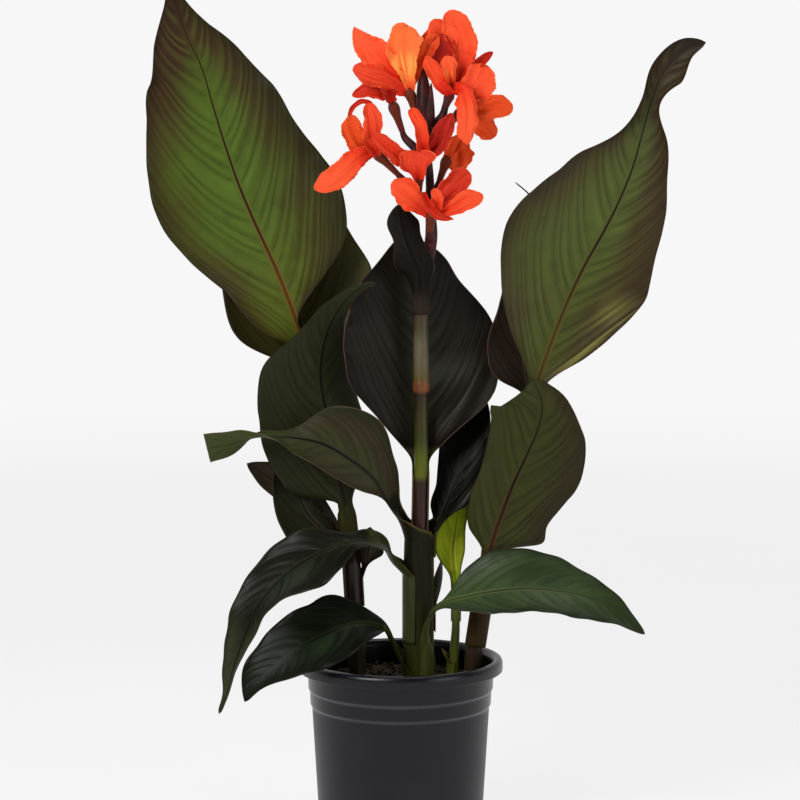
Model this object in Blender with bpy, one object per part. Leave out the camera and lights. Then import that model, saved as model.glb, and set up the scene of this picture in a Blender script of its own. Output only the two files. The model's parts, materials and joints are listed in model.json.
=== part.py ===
# Canna lily in flower, growing in its nursery pot.
# Metres, +Z up. The origin is the bottom centre of the pot, and the plant faces -Y.
# The pot stands on its flat bottom. Soil fills it, the rhizome lies in the soil, and
# four shoots rise from the rhizome. Each leaf clasps its shoot with its own sheath.

import math

import bmesh
import bpy
import numpy as np

# Gap left between pieces that touch
GAP = 0.0003

# Pot
POT_HEIGHT = 0.190
POT_WALL = 0.0020
LIP_RADIUS = 0.1030
LIP_BEAD_RADIUS = 0.0980
LIP_DEPTH = 0.0130
LIP_SKIRT = 0.0018
BAND_RADIUS = 0.0932
BAND_LOW = 0.157
SECOND_BAND_RADIUS = 0.0912
SECOND_BAND_LOW = 0.141
BODY_TOP_RADIUS = 0.0896
BODY_FOOT_RADIUS = 0.0812
FOOT_ROUND = 0.0060
POT_SEGMENTS = 32
DRAIN_HOLES = 6
DRAIN_RADIUS = 0.0060
DRAIN_CIRCLE = 0.0580

# Soil and rhizome, with the radius of the hole that each shoot stands in
SOIL_TOP = 0.165
SOIL_LUMP = 0.0022
SHOOT_HOLES = {"centre": 0.0189, "left": 0.0092, "right": 0.0097, "small": 0.0082}
RHIZOME_ENDS = (-0.060, 0.080)
RHIZOME_JOINTS = 13
RHIZOME_Z = 0.112
RHIZOME_RADIUS = 0.0165
RHIZOME_CLEARANCE = 0.0006
SHOOT_FOOT = RHIZOME_Z + RHIZOME_RADIUS + 0.0024

# Shoots: points up the axis, each x, y, z, radius
SHOOTS = {
    "centre": [
        (0.0185, 0.000, SHOOT_FOOT, 0.0120),
        (0.0185, 0.000, 0.170, 0.0135),
        (0.0185, 0.000, 0.290, 0.0135),
        (0.0190, 0.000, 0.304, 0.0070),
        (0.0205, 0.000, 0.390, 0.0070),
        (0.0205, 0.000, 0.456, 0.0066),
        (0.0205, 0.000, 0.459, 0.0084),
        (0.0205, 0.000, 0.466, 0.0086),
        (0.0205, 0.000, 0.469, 0.0078),
        (0.0202, 0.000, 0.520, 0.0074),
        (0.0202, 0.000, 0.560, 0.0068),
    ],
    "left": [
        (-0.0440, 0.012, SHOOT_FOOT, 0.0085),
        (-0.0445, 0.012, 0.200, 0.0085),
        (-0.0490, 0.012, 0.285, 0.0085),
        (-0.0505, 0.011, 0.298, 0.0045),
        (-0.0545, 0.010, 0.334, 0.0040),
    ],
    "right": [
        (0.0700, 0.006, SHOOT_FOOT, 0.0090),
        (0.0740, 0.006, 0.190, 0.0090),
        (0.0860, 0.005, 0.270, 0.0085),
        (0.0880, 0.005, 0.284, 0.0042),
        (0.0905, 0.005, 0.310, 0.0036),
    ],
    "small": [
        (0.0500, 0.014, SHOOT_FOOT, 0.0055),
        (0.0532, 0.015, 0.171, 0.0055),
        (0.0560, 0.018, 0.215, 0.0042),
        (0.0565, 0.019, 0.258, 0.0036),
    ],
}
SHOOT_COLOURS = {
    "centre": (0.050, 0.034, 0.018),
    "left": (0.045, 0.030, 0.012),
    "right": (0.060, 0.020, 0.020),
    "small": (0.120, 0.150, 0.030),
}
SHOOT_SIDES = 12

# Leaves. "clasp" is the sheath: shoot, side of the midrib in degrees from +X, radius of
# the sheath, half the angle that it wraps, and its lowest and highest point. "rows" run
# from the sheath's mouth to the tip: midrib x, y, z, half width on the left and right as
# seen from the upper face, roll in degrees (0 turns the upper face to -Y) and the half
# angle of the trough. "wave" is the height of the edge waves, "waves" their number.
BLADE = 0.0011
MIDRIB_BACK = 0.0016
CLASP_FOOT = SHOOT_FOOT + 0.004
LEAVES = {
    "leaf_upper_left": {
        "clasp": ("left", 90, 0.0056, 95, 0.306, 0.334),
        "colour": (0.110, 0.150, 0.040), "wave": 0.004, "waves": 4,
        "rows": [
            (-0.064, 0.021, 0.373, 0.006, 0.006, 0, 95),
            (-0.082, 0.027, 0.439, 0.006, 0.006, 0, 80),
            (-0.096, 0.026, 0.502, 0.009, 0.009, 0, 45),
            (-0.104, 0.026, 0.525, 0.033, 0.001, 0, 24),
            (-0.126, 0.030, 0.581, 0.058, 0.081, -4, 16),
            (-0.145, 0.034, 0.622, 0.078, 0.097, -6, 14),
            (-0.161, 0.037, 0.659, 0.088, 0.091, -6, 12),
            (-0.176, 0.038, 0.702, 0.083, 0.077, -4, 12),
            (-0.190, 0.036, 0.749, 0.068, 0.064, 0, 14),
            (-0.199, 0.032, 0.781, 0.058, 0.044, 4, 16),
            (-0.214, 0.026, 0.814, 0.036, 0.026, 6, 20),
            (-0.224, 0.018, 0.847, 0.011, 0.009, 6, 20),
            (-0.229, 0.012, 0.868, 0.002, 0.002, 6, 10),
        ],
    },
    "leaf_upper_left_back": {
        "clasp": ("left", 90, 0.0073, 92, 0.306, 0.328),
        "colour": (0.030, 0.035, 0.018), "wave": 0.004, "waves": 3,
        "rows": [
            (-0.061, 0.036, 0.358, 0.008, 0.008, 0, 90),
            (-0.076, 0.050, 0.435, 0.008, 0.008, 0, 70),
            (-0.090, 0.056, 0.476, 0.011, 0.032, 0, 30),
            (-0.102, 0.060, 0.520, 0.065, 0.070, 0, 24),
            (-0.110, 0.062, 0.564, 0.073, 0.084, 0, 22),
            (-0.116, 0.064, 0.606, 0.068, 0.067, 0, 20),
            (-0.125, 0.066, 0.669, 0.050, 0.044, 0, 20),
            (-0.141, 0.066, 0.719, 0.030, 0.026, 0, 20),
            (-0.152, 0.064, 0.752, 0.003, 0.003, 0, 10),
        ],
    },
    "leaf_left_middle": {
        "clasp": ("left", -90, 0.0095, 100, 0.303, 0.330),
        "colour": (0.034, 0.038, 0.020), "wave": 0.003, "waves": 3,
        "rows": [
            (-0.056, -0.002, 0.346, 0.012, 0.012, 180, 90),
            (-0.060, -0.002, 0.362, 0.020, 0.049, 184, 46),
            (-0.064, 0.000, 0.385, 0.034, 0.061, 198, 30),
            (-0.075, 0.004, 0.437, 0.045, 0.070, 206, 26),
            (-0.081, 0.008, 0.477, 0.040, 0.060, 206, 26),
            (-0.077, 0.010, 0.507, 0.024, 0.030, 204, 26),
            (-0.065, -0.006, 0.536, 0.012, 0.017, 194, 26),
            (-0.051, -0.020, 0.554, 0.006, 0.008, 182, 20),
            (-0.034, -0.026, 0.566, 0.003, 0.003, 180, 10),
            (-0.023, -0.028, 0.568, 0.002, 0.002, 180, 5),
        ],
    },
    "leaf_left_lower": {
        "clasp": ("left", 180, 0.0099, 50, 0.240, 0.288),
        "colour": (0.022, 0.024, 0.014), "wave": 0.002, "waves": 2,
        "rows": [
            (-0.065, 0.010, 0.301, 0.007, 0.007, 90, 60),
            (-0.077, 0.013, 0.315, 0.038, 0.014, 40, 40),
            (-0.095, 0.018, 0.334, 0.032, 0.010, 10, 28),
            (-0.106, 0.024, 0.361, 0.025, 0.011, 2, 22),
            (-0.112, 0.028, 0.391, 0.015, 0.011, 0, 20),
            (-0.113, 0.030, 0.415, 0.003, 0.003, 0, 10),
        ],
    },
    "leaf_left_lower_back": {
        "clasp": ("left", 95, 0.0099, 26, 0.240, 0.285),
        "colour": (0.070, 0.055, 0.035), "wave": 0.001, "waves": 2,
        "rows": [
            (-0.061, 0.032, 0.308, 0.006, 0.006, 0, 60),
            (-0.086, 0.040, 0.330, 0.016, 0.018, 0, 36),
            (-0.115, 0.045, 0.353, 0.015, 0.020, 0, 28),
            (-0.138, 0.045, 0.369, 0.012, 0.016, 0, 22),
            (-0.157, 0.042, 0.381, 0.002, 0.002, 0, 10),
        ],
    },
    "leaf_left_small": {
        "clasp": ("left", 15, 0.0099, 45, 0.240, 0.268),
        "colour": (0.060, 0.055, 0.040), "wave": 0.001, "waves": 2,
        "rows": [
            (-0.035, 0.014, 0.280, 0.006, 0.006, -60, 50),
            (-0.033, 0.016, 0.291, 0.016, 0.027, -40, 40),
            (-0.032, 0.018, 0.303, 0.016, 0.018, -30, 34),
            (-0.031, 0.020, 0.319, 0.003, 0.003, -30, 10),
        ],
    },
    "leaf_droop_left": {
        "clasp": ("centre", 195, 0.0166, 62, 0.205, 0.274),
        "colour": (0.028, 0.034, 0.018), "wave": 0.003, "waves": 4,
        "rows": [
            (-0.009, -0.013, 0.288, 0.015, 0.015, 100, 56),
            (-0.019, -0.020, 0.305, 0.017, 0.016, 78, 44),
            (-0.035, -0.027, 0.311, 0.012, 0.016, 60, 34),
            (-0.050, -0.031, 0.311, 0.019, 0.012, 52, 28),
            (-0.072, -0.038, 0.305, 0.034, 0.027, 46, 20),
            (-0.097, -0.044, 0.293, 0.039, 0.034, 43, 15),
            (-0.120, -0.049, 0.276, 0.029, 0.034, 41, 14),
            (-0.140, -0.053, 0.252, 0.016, 0.027, 39, 16),
            (-0.153, -0.055, 0.222, 0.011, 0.022, 37, 20),
            (-0.165, -0.056, 0.189, 0.005, 0.014, 35, 24),
            (-0.173, -0.056, 0.161, 0.003, 0.004, 33, 20),
            (-0.180, -0.055, 0.143, 0.002, 0.002, 30, 10),
        ],
    },
    "leaf_lowest_left": {
        "clasp": ("centre", 232, 0.0166, 28, CLASP_FOOT, 0.166),
        "colour": (0.020, 0.026, 0.014), "wave": 0.003, "waves": 3,
        "rows": [
            (-0.004, -0.020, 0.195, 0.006, 0.006, 80, 80),
            (-0.011, -0.027, 0.212, 0.006, 0.006, 80, 80),
            (-0.017, -0.036, 0.225, 0.007, 0.007, 70, 60),
            (-0.030, -0.046, 0.232, 0.020, 0.015, 50, 36),
            (-0.052, -0.056, 0.232, 0.033, 0.036, 42, 24),
            (-0.075, -0.066, 0.224, 0.036, 0.035, 36, 18),
            (-0.099, -0.074, 0.213, 0.032, 0.035, 33, 16),
            (-0.120, -0.079, 0.197, 0.021, 0.031, 30, 16),
            (-0.140, -0.081, 0.178, 0.007, 0.021, 30, 20),
            (-0.153, -0.081, 0.161, 0.002, 0.002, 30, 10),
        ],
    },
    "leaf_low_right": {
        "clasp": ("centre", -50, 0.0166, 40, CLASP_FOOT, 0.186),
        "colour": (0.060, 0.085, 0.035), "wave": 0.003, "waves": 3,
        "rows": [
            (0.026, -0.021, 0.217, 0.007, 0.007, -125, 38),
            (0.032, -0.025, 0.237, 0.009, 0.009, -90, 50),
            (0.044, -0.029, 0.250, 0.005, 0.015, -62, 36),
            (0.063, -0.032, 0.256, 0.026, 0.022, -51, 26),
            (0.089, -0.036, 0.262, 0.042, 0.029, -47, 20),
            (0.118, -0.041, 0.266, 0.045, 0.033, -45, 17),
            (0.150, -0.045, 0.265, 0.040, 0.031, -44, 16),
            (0.180, -0.049, 0.260, 0.025, 0.029, -44, 17),
            (0.208, -0.052, 0.249, 0.015, 0.022, -44, 19),
            (0.227, -0.054, 0.236, 0.007, 0.013, -43, 20),
            (0.241, -0.055, 0.223, 0.002, 0.002, -40, 10),
        ],
    },
    "leaf_twisted": {
        "clasp": ("centre", 190, 0.0151, 160, CLASP_FOOT, 0.310),
        "colour": (0.060, 0.055, 0.035), "wave": 0.002, "waves": 3,
        "rows": [
            (0.002, -0.005, 0.319, 0.024, 0.024, 100, 98),
            (-0.003, -0.008, 0.332, 0.015, 0.015, 82, 64),
            (-0.013, -0.017, 0.349, 0.003, 0.019, 48, 40),
            (-0.027, -0.028, 0.374, 0.018, 0.028, 16, 26),
            (-0.052, -0.038, 0.396, 0.024, 0.050, 4, 22),
            (-0.078, -0.042, 0.411, 0.023, 0.040, 10, 22),
            (-0.101, -0.042, 0.416, 0.020, 0.014, 34, 20),
            (-0.122, -0.040, 0.417, 0.013, 0.007, 62, 16),
            (-0.140, -0.039, 0.418, 0.007, 0.007, 96, 10),
            (-0.158, -0.040, 0.414, 0.018, 0.017, 128, 6),
            (-0.175, -0.041, 0.410, 0.017, 0.015, 150, 4),
            (-0.189, -0.041, 0.408, 0.014, 0.014, 158, 1),
        ],
    },
    "leaf_boat": {
        "clasp": ("centre", 28, 0.0166, 56, 0.292, 0.316),
        "colour": (0.014, 0.016, 0.009), "wave": 0.001, "waves": 2,
        "rows": [
            (0.040, 0.009, 0.325, 0.010, 0.011, -50, 60),
            (0.045, 0.015, 0.339, 0.016, 0.029, -34, 44),
            (0.052, 0.023, 0.358, 0.017, 0.029, -24, 36),
            (0.059, 0.031, 0.384, 0.022, 0.031, -18, 34),
            (0.066, 0.037, 0.411, 0.024, 0.027, -12, 32),
            (0.072, 0.042, 0.438, 0.015, 0.020, -8, 28),
            (0.075, 0.044, 0.466, 0.002, 0.002, 0, 10),
        ],
    },
    "leaf_centre_back": {
        "clasp": ("centre", 90, 0.0084, 120, 0.308, 0.372),
        "colour": (0.026, 0.024, 0.018), "wave": 0.003, "waves": 3,
        "rows": [
            (0.020, 0.012, 0.389, 0.013, 0.013, 0, 76),
            (0.020, 0.014, 0.407, 0.026, 0.028, 0, 48),
            (0.020, 0.016, 0.427, 0.044, 0.048, 4, 30),
            (0.021, 0.020, 0.454, 0.075, 0.072, 12, 20),
            (0.022, 0.026, 0.496, 0.088, 0.079, 19, 15),
            (0.021, 0.028, 0.528, 0.086, 0.070, 21, 14),
            (0.017, 0.028, 0.559, 0.076, 0.046, 20, 14),
            (0.012, 0.026, 0.583, 0.059, 0.034, 16, 14),
            (0.007, 0.024, 0.602, 0.025, 0.019, 8, 16),
            (0.004, 0.022, 0.617, 0.002, 0.002, 0, 10),
        ],
    },
    "leaf_flower_cup": {
        "clasp": ("centre", -100, 0.0088, 100, 0.536, 0.556),
        "colour": (0.020, 0.016, 0.012), "wave": 0.001, "waves": 2,
        "rows": [
            (0.019, -0.011, 0.565, 0.017, 0.017, 180, 88),
            (0.018, -0.015, 0.579, 0.020, 0.020, 180, 58),
            (0.011, -0.018, 0.595, 0.017, 0.020, 180, 22),
            (0.004, -0.015, 0.612, 0.017, 0.012, 184, 22),
            (0.000, -0.010, 0.630, 0.018, 0.014, 188, 24),
            (-0.001, -0.002, 0.646, 0.003, 0.003, 190, 10),
        ],
    },
    "leaf_upper_right": {
        "clasp": ("right", 90, 0.0053, 90, 0.290, 0.306),
        "colour": (0.090, 0.095, 0.045), "wave": 0.004, "waves": 4,
        "rows": [
            (0.108, 0.014, 0.351, 0.006, 0.006, 0, 90),
            (0.124, 0.018, 0.414, 0.006, 0.006, 0, 90),
            (0.138, 0.020, 0.467, 0.012, 0.010, 0, 50),
            (0.152, 0.022, 0.507, 0.049, 0.041, 2, 22),
            (0.167, 0.025, 0.545, 0.075, 0.060, 4, 16),
            (0.186, 0.028, 0.585, 0.092, 0.070, 4, 14),
            (0.205, 0.029, 0.619, 0.086, 0.059, 4, 14),
            (0.221, 0.028, 0.652, 0.071, 0.049, 2, 16),
            (0.233, 0.024, 0.684, 0.055, 0.036, 0, 26),
            (0.241, 0.018, 0.716, 0.026, 0.030, 0, 60),
            (0.249, 0.010, 0.747, 0.018, 0.014, 0, 95),
            (0.262, 0.002, 0.779, 0.017, 0.024, 0, 60),
            (0.282, -0.005, 0.799, 0.011, 0.012, 0, 40),
            (0.300, -0.009, 0.804, 0.002, 0.002, 0, 10),
        ],
    },
    "leaf_right_back": {
        "clasp": ("right", 90, 0.0079, 84, 0.288, 0.302),
        "colour": (0.026, 0.026, 0.018), "wave": 0.002, "waves": 3,
        "rows": [
            (0.110, 0.028, 0.345, 0.010, 0.010, 0, 84),
            (0.128, 0.034, 0.416, 0.008, 0.008, 0, 80),
            (0.131, 0.034, 0.455, 0.010, 0.010, 0, 50),
            (0.127, 0.033, 0.479, 0.035, 0.016, 0, 28),
            (0.123, 0.034, 0.502, 0.037, 0.022, 0, 24),
            (0.122, 0.038, 0.537, 0.025, 0.022, 0, 20),
            (0.123, 0.042, 0.579, 0.015, 0.030, 0, 20),
            (0.123, 0.044, 0.619, 0.009, 0.020, 0, 20),
            (0.122, 0.044, 0.651, 0.005, 0.009, 0, 20),
            (0.119, 0.042, 0.666, 0.002, 0.002, 0, 10),
        ],
    },
    "leaf_right_middle": {
        "clasp": ("right", -90, 0.0104, 120, 0.200, 0.280),
        "colour": (0.065, 0.062, 0.034), "wave": 0.003, "waves": 3,
        "rows": [
            (0.089, -0.006, 0.295, 0.010, 0.010, 180, 80),
            (0.093, -0.008, 0.312, 0.047, 0.027, 180, 40),
            (0.102, -0.010, 0.339, 0.050, 0.036, 180, 24),
            (0.114, -0.012, 0.371, 0.060, 0.036, 184, 18),
            (0.127, -0.012, 0.399, 0.062, 0.043, 184, 16),
            (0.138, -0.009, 0.426, 0.051, 0.051, 184, 18),
            (0.141, -0.004, 0.448, 0.027, 0.051, 182, 20),
            (0.137, 0.000, 0.460, 0.011, 0.056, 180, 20),
            (0.131, 0.004, 0.469, 0.003, 0.003, 180, 10),
        ],
    },
    "leaf_lime_shoot": {
        "clasp": ("small", 90, 0.0050, 90, 0.222, 0.252),
        "colour": (0.300, 0.360, 0.040), "wave": 0.001, "waves": 2,
        "rows": [
            (0.055, 0.024, 0.268, 0.006, 0.007, 0, 60),
            (0.053, 0.029, 0.291, 0.019, 0.013, 0, 40),
            (0.056, 0.035, 0.317, 0.019, 0.011, 0, 40),
            (0.060, 0.041, 0.341, 0.011, 0.011, 0, 40),
            (0.062, 0.045, 0.364, 0.002, 0.002, 0, 10),
        ],
    },
    "leaf_dark_bract": {
        "clasp": ("centre", 22, 0.0166, 34, 0.215, 0.240),
        "colour": (0.024, 0.028, 0.012), "wave": 0.001, "waves": 2,
        "rows": [
            (0.039, 0.008, 0.260, 0.012, 0.012, -70, 34),
            (0.041, 0.009, 0.274, 0.009, 0.009, -70, 28),
            (0.041, 0.009, 0.287, 0.002, 0.002, -70, 10),
        ],
    },
    "leaf_scale_centre": {
        "clasp": ("centre", 165, 0.0166, 34, CLASP_FOOT, 0.182),
        "colour": (0.080, 0.090, 0.030), "wave": 0.000, "waves": 1,
        "rows": [
            (-0.002, 0.004, 0.192, 0.008, 0.008, 70, 34),
            (-0.004, 0.004, 0.202, 0.002, 0.002, 70, 20),
        ],
    },
    "leaf_scale_small": {
        "clasp": ("small", 200, 0.0068, 80, CLASP_FOOT, 0.182),
        "colour": (0.130, 0.150, 0.040), "wave": 0.000, "waves": 1,
        "rows": [
            (0.044, 0.009, 0.190, 0.005, 0.005, 78, 50),
            (0.041, 0.007, 0.197, 0.002, 0.002, 70, 30),
        ],
    },
}
BLADE_COLUMNS = 8
SMALL_COLUMNS = 6
SMALL_HALF = 0.030
BLADE_STEP = 0.030
RIB_HALF = 0.0035
LEAST_HALF = 0.0008
OPEN_ROWS = 3

# Flower spike: points up its axis, each x, y, z, radius
SPIKE = [
    (0.0203, 0.000, 0.5610, 0.0066),
    (0.0220, 0.000, 0.575, 0.0064),
    (0.0280, -0.001, 0.595, 0.0062),
    (0.0305, -0.002, 0.612, 0.0062),
    (0.0300, 0.000, 0.635, 0.0052),
    (0.0290, 0.000, 0.669, 0.0042),
    (0.0270, 0.001, 0.699, 0.0034),
    (0.0260, 0.000, 0.728, 0.0026),
]
# Closed buds: foot, tip and greatest radius
BUDS = [
    ((0.026, 0.000, 0.716), (0.026, -0.002, 0.772), 0.0046),
    ((0.027, -0.002, 0.700), (0.037, -0.004, 0.760), 0.0040),
    ((0.028, -0.002, 0.690), (0.046, -0.008, 0.742), 0.0034),
    ((0.026, 0.002, 0.704), (0.018, 0.006, 0.760), 0.0036),
]
OVARY_RADIUS = 0.0042
SPIKE_COLOUR = (0.060, 0.014, 0.016)

# Blooms: where the ovary leaves the axis, where it meets the flower's tube, the throat,
# and the petals: bow point, tip, half width, roll at the throat and tip, trough angle
BLOOMS = {
    "bloom_upper_left": {
        "stalk": (0.026, 0.000, 0.706), "join": (0.014, -0.001, 0.736),
        "throat": (0.006, -0.006, 0.760), "petals": [
            ((-0.016, -0.018, 0.779), (-0.043, -0.014, 0.815), 0.013, -14, -6, 30),
            ((-0.004, -0.014, 0.787), (0.001, -0.008, 0.812), 0.011, 0, 8, 24),
            ((0.010, -0.006, 0.787), (0.014, -0.002, 0.817), 0.009, 20, 20, 30),
            ((0.020, -0.004, 0.779), (0.026, -0.010, 0.804), 0.010, 50, 40, 30),
            ((-0.022, -0.022, 0.761), (-0.046, -0.020, 0.777), 0.012, -10, 10, 30),
        ],
    },
    "bloom_left_small": {
        "stalk": (0.027, 0.002, 0.684), "join": (0.002, 0.006, 0.716),
        "throat": (-0.014, 0.006, 0.740), "petals": [
            ((-0.028, 0.000, 0.755), (-0.045, 0.004, 0.752), 0.009, 0, 10, 40),
            ((-0.006, 0.000, 0.754), (-0.014, 0.004, 0.766), 0.006, 20, 20, 40),
            ((-0.028, 0.004, 0.738), (-0.038, 0.004, 0.744), 0.005, 0, 0, 40),
        ],
    },
    "bloom_top": {
        "stalk": (0.026, 0.001, 0.712), "join": (0.042, 0.006, 0.736),
        "throat": (0.049, 0.002, 0.754), "petals": [
            ((0.032, 0.012, 0.790), (0.046, 0.008, 0.831), 0.018, 14, 0, 34),
            ((0.080, -0.002, 0.787), (0.062, 0.000, 0.825), 0.017, -40, -10, 34),
            ((0.032, -0.018, 0.763), (0.030, -0.018, 0.796), 0.011, 34, 30, 30),
            ((0.042, -0.016, 0.767), (0.046, -0.016, 0.785), 0.009, 0, 0, 40),
            ((0.070, -0.028, 0.765), (0.063, -0.026, 0.702), 0.010, -14, 0, 34),
        ],
    },
    "bloom_right": {
        "stalk": (0.028, 0.002, 0.690), "join": (0.046, 0.008, 0.722),
        "throat": (0.060, 0.006, 0.737), "petals": [
            ((0.066, 0.008, 0.762), (0.086, 0.010, 0.782), 0.016, -10, -10, 24),
            ((0.073, 0.002, 0.766), (0.089, 0.002, 0.788), 0.004, -20, 0, 70),
            ((0.084, 0.000, 0.756), (0.110, -0.002, 0.745), 0.014, -30, -20, 20),
            ((0.079, 0.010, 0.730), (0.090, 0.012, 0.714), 0.011, -40, -20, 20),
        ],
    },
    "bloom_left": {
        "stalk": (0.029, 0.000, 0.640), "join": (-0.003, -0.003, 0.675),
        "throat": (-0.025, -0.008, 0.697), "petals": [
            ((-0.054, -0.024, 0.697), (-0.081, -0.030, 0.660), 0.013, 20, 10, 24),
            ((-0.054, -0.018, 0.697), (-0.048, -0.012, 0.727), 0.014, 10, 0, 40),
            ((-0.018, -0.010, 0.716), (-0.032, -0.004, 0.734), 0.009, 0, 0, 20),
        ],
    },
    "bloom_centre": {
        "stalk": (0.030, -0.001, 0.630), "join": (0.018, -0.012, 0.656),
        "throat": (0.018, -0.018, 0.675), "petals": [
            ((-0.001, -0.030, 0.683), (-0.027, -0.026, 0.713), 0.008, 10, 0, 30),
            ((0.043, -0.026, 0.691), (0.050, -0.022, 0.726), 0.008, -14, -10, 30),
            ((0.005, -0.020, 0.691), (0.010, -0.018, 0.712), 0.009, 0, 0, 20),
            ((0.038, -0.036, 0.708), (0.008, -0.028, 0.735), 0.005, 0, 0, 90),
            ((0.023, -0.036, 0.664), (0.036, -0.030, 0.688), 0.008, 0, 0, 20),
        ],
    },
    "bloom_shaded": {
        "stalk": (0.030, 0.001, 0.632), "join": (0.038, 0.006, 0.667),
        "throat": (0.046, 0.006, 0.690), "petals": [
            ((0.060, 0.012, 0.710), (0.064, 0.006, 0.682), 0.011, 0, 0, 20),
            ((0.058, 0.002, 0.706), (0.074, 0.000, 0.698), 0.008, -20, 0, 26),
        ],
    },
    "bloom_lowest": {
        "stalk": (0.030, -0.002, 0.604), "join": (0.029, -0.013, 0.619),
        "throat": (0.030, -0.020, 0.636), "petals": [
            ((0.009, -0.030, 0.634), (-0.008, -0.026, 0.665), 0.014, 6, 10, 26),
            ((0.040, -0.016, 0.659), (0.066, -0.012, 0.674), 0.013, -10, 0, 30),
            ((0.056, -0.030, 0.642), (0.080, -0.026, 0.647), 0.010, -16, -10, 24),
            ((0.041, -0.032, 0.648), (0.030, -0.030, 0.660), 0.005, 0, 0, 50),
            ((0.029, -0.038, 0.628), (0.051, -0.032, 0.632), 0.004, 0, 0, 40),
        ],
    },
}
PETAL_THICK = 0.0009
PETAL_COLUMNS = 4
PETAL_STEPS = (0.0, 0.18, 0.40, 0.62, 0.84, 1.0)
TUBE_FOOT = 0.0026
TUBE_MOUTH = 0.0050
BLOOM_COLOUR = (0.860, 0.070, 0.025)


def unit(vector):
    return vector / np.linalg.norm(vector, axis=-1, keepdims=True)


def material(name, colour, roughness):
    made = bpy.data.materials.new(name)
    made.use_nodes = True
    shader = made.node_tree.nodes["Principled BSDF"]
    shader.inputs["Base Color"].default_value = (*colour, 1.0)
    shader.inputs["Roughness"].default_value = roughness
    shader.inputs["Metallic"].default_value = 0.0
    return made


def make_object(name, points, faces, colour, roughness=0.5):
    mesh = bpy.data.meshes.new(name)
    mesh.from_pydata([tuple(point) for point in points], [], faces)
    work = bmesh.new()
    work.from_mesh(mesh)
    bmesh.ops.triangulate(work, faces=work.faces[:])
    bmesh.ops.recalc_face_normals(work, faces=work.faces[:])
    work.to_mesh(mesh)
    work.free()
    mesh.shade_smooth()
    mesh.set_sharp_from_angle(angle=math.radians(40))
    made = bpy.data.objects.new(name, mesh)
    made.data.materials.append(material(name, colour, roughness))
    bpy.context.collection.objects.link(made)
    return made


# A turned solid from an outline that starts and ends on the axis
def turned(name, outline, sides, colour, roughness=0.5):
    angles = np.arange(sides) * 2 * math.pi / sides
    points = [(0.0, 0.0, outline[0][1])]
    for radius, height in outline[1:-1]:
        points += [(radius * math.cos(a), radius * math.sin(a), height) for a in angles]
    points.append((0.0, 0.0, outline[-1][1]))
    faces = []
    rings = len(outline) - 2
    for side in range(sides):
        after = (side + 1) % sides
        faces.append((0, 1 + after, 1 + side))
        for ring in range(rings - 1):
            low = 1 + ring * sides
            high = low + sides
            faces.append((low + side, low + after, high + after, high + side))
        top = 1 + (rings - 1) * sides
        faces.append((top + side, top + after, len(points) - 1))
    return make_object(name, points, faces, colour, roughness)


# A closed round rod along points x, y, z, radius
def rod_mesh(path, sides):
    path = np.array(path)
    axis = path[:, :3]
    along = unit(np.gradient(axis, axis=0))
    side = unit(np.cross(along, (0.0, 1.0, 0.2)))
    front = np.cross(along, side)
    angles = np.arange(sides) * 2 * math.pi / sides
    points = []
    for i, radius in enumerate(path[:, 3]):
        for a in angles:
            points.append(axis[i] + radius * (math.cos(a) * side[i] + math.sin(a) * front[i]))
    faces = [tuple(range(sides)), tuple(range(len(points) - sides, len(points)))]
    for i in range(len(path) - 1):
        for j in range(sides):
            k = (j + 1) % sides
            low = i * sides
            faces.append((low + j, low + k, low + sides + k, low + sides + j))
    return points, faces


def rod(name, path, sides, colour, roughness=0.5):
    points, faces = rod_mesh(path, sides)
    return make_object(name, points, faces, colour, roughness)


# Join or cut by one Boolean on a collection of helpers, applied, with the helpers removed
def combine(target, helpers, operation, solver="EXACT"):
    group = bpy.data.collections.new("helpers")
    bpy.context.scene.collection.children.link(group)
    for helper in helpers:
        for owner in list(helper.users_collection):
            owner.objects.unlink(helper)
        helper.hide_render = True
        helper.display_type = "WIRE"
        group.objects.link(helper)
    change = target.modifiers.new("combine", "BOOLEAN")
    change.operation = operation
    change.operand_type = "COLLECTION"
    change.collection = group
    change.solver = solver
    bpy.context.view_layer.update()
    evaluated = target.evaluated_get(bpy.context.evaluated_depsgraph_get())
    mesh = bpy.data.meshes.new_from_object(evaluated)
    target.modifiers.clear()
    target.data = mesh
    while len(mesh.materials) > 1:
        mesh.materials.pop()
    for helper in helpers:
        bpy.data.objects.remove(helper, do_unlink=True)
    bpy.data.collections.remove(group)
    mesh.shade_smooth()
    mesh.set_sharp_from_angle(angle=math.radians(40))
    return target


# Smooth curve through rows of numbers, with extra rows where neighbours lie far apart
def through(rows, counts):
    rows = np.array(rows, dtype=float)
    gaps = np.linalg.norm(np.diff(rows[:, :3], axis=0), axis=1)[:, None]
    rise = np.diff(rows, axis=0) / gaps
    slope = np.empty_like(rows)
    slope[0] = rise[0]
    slope[-1] = rise[-1]
    slope[1:-1] = (rise[:-1] * gaps[1:] + rise[1:] * gaps[:-1]) / (gaps[1:] + gaps[:-1])
    result = []
    for i, count in enumerate(counts):
        for t in np.arange(count) / count:
            h = gaps[i, 0]
            start = (1 + 2 * t) * (1 - t) ** 2 * rows[i] + t * (1 - t) ** 2 * h * slope[i]
            end = t * t * (3 - 2 * t) * rows[i + 1] + t * t * (t - 1) * h * slope[i + 1]
            result.append(start + end)
    result.append(rows[-1])
    return np.array(result)


def facing(points, rolls):
    along = unit(np.gradient(points, axis=0))
    base = np.array((0.0, -1.0, 0.0)) - along * (along @ np.array((0.0, -1.0, 0.0)))[:, None]
    base = unit(base)
    across = np.cross(along, base)
    turn = np.radians(rolls)[:, None]
    return base * np.cos(turn) + across * np.sin(turn)


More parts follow.
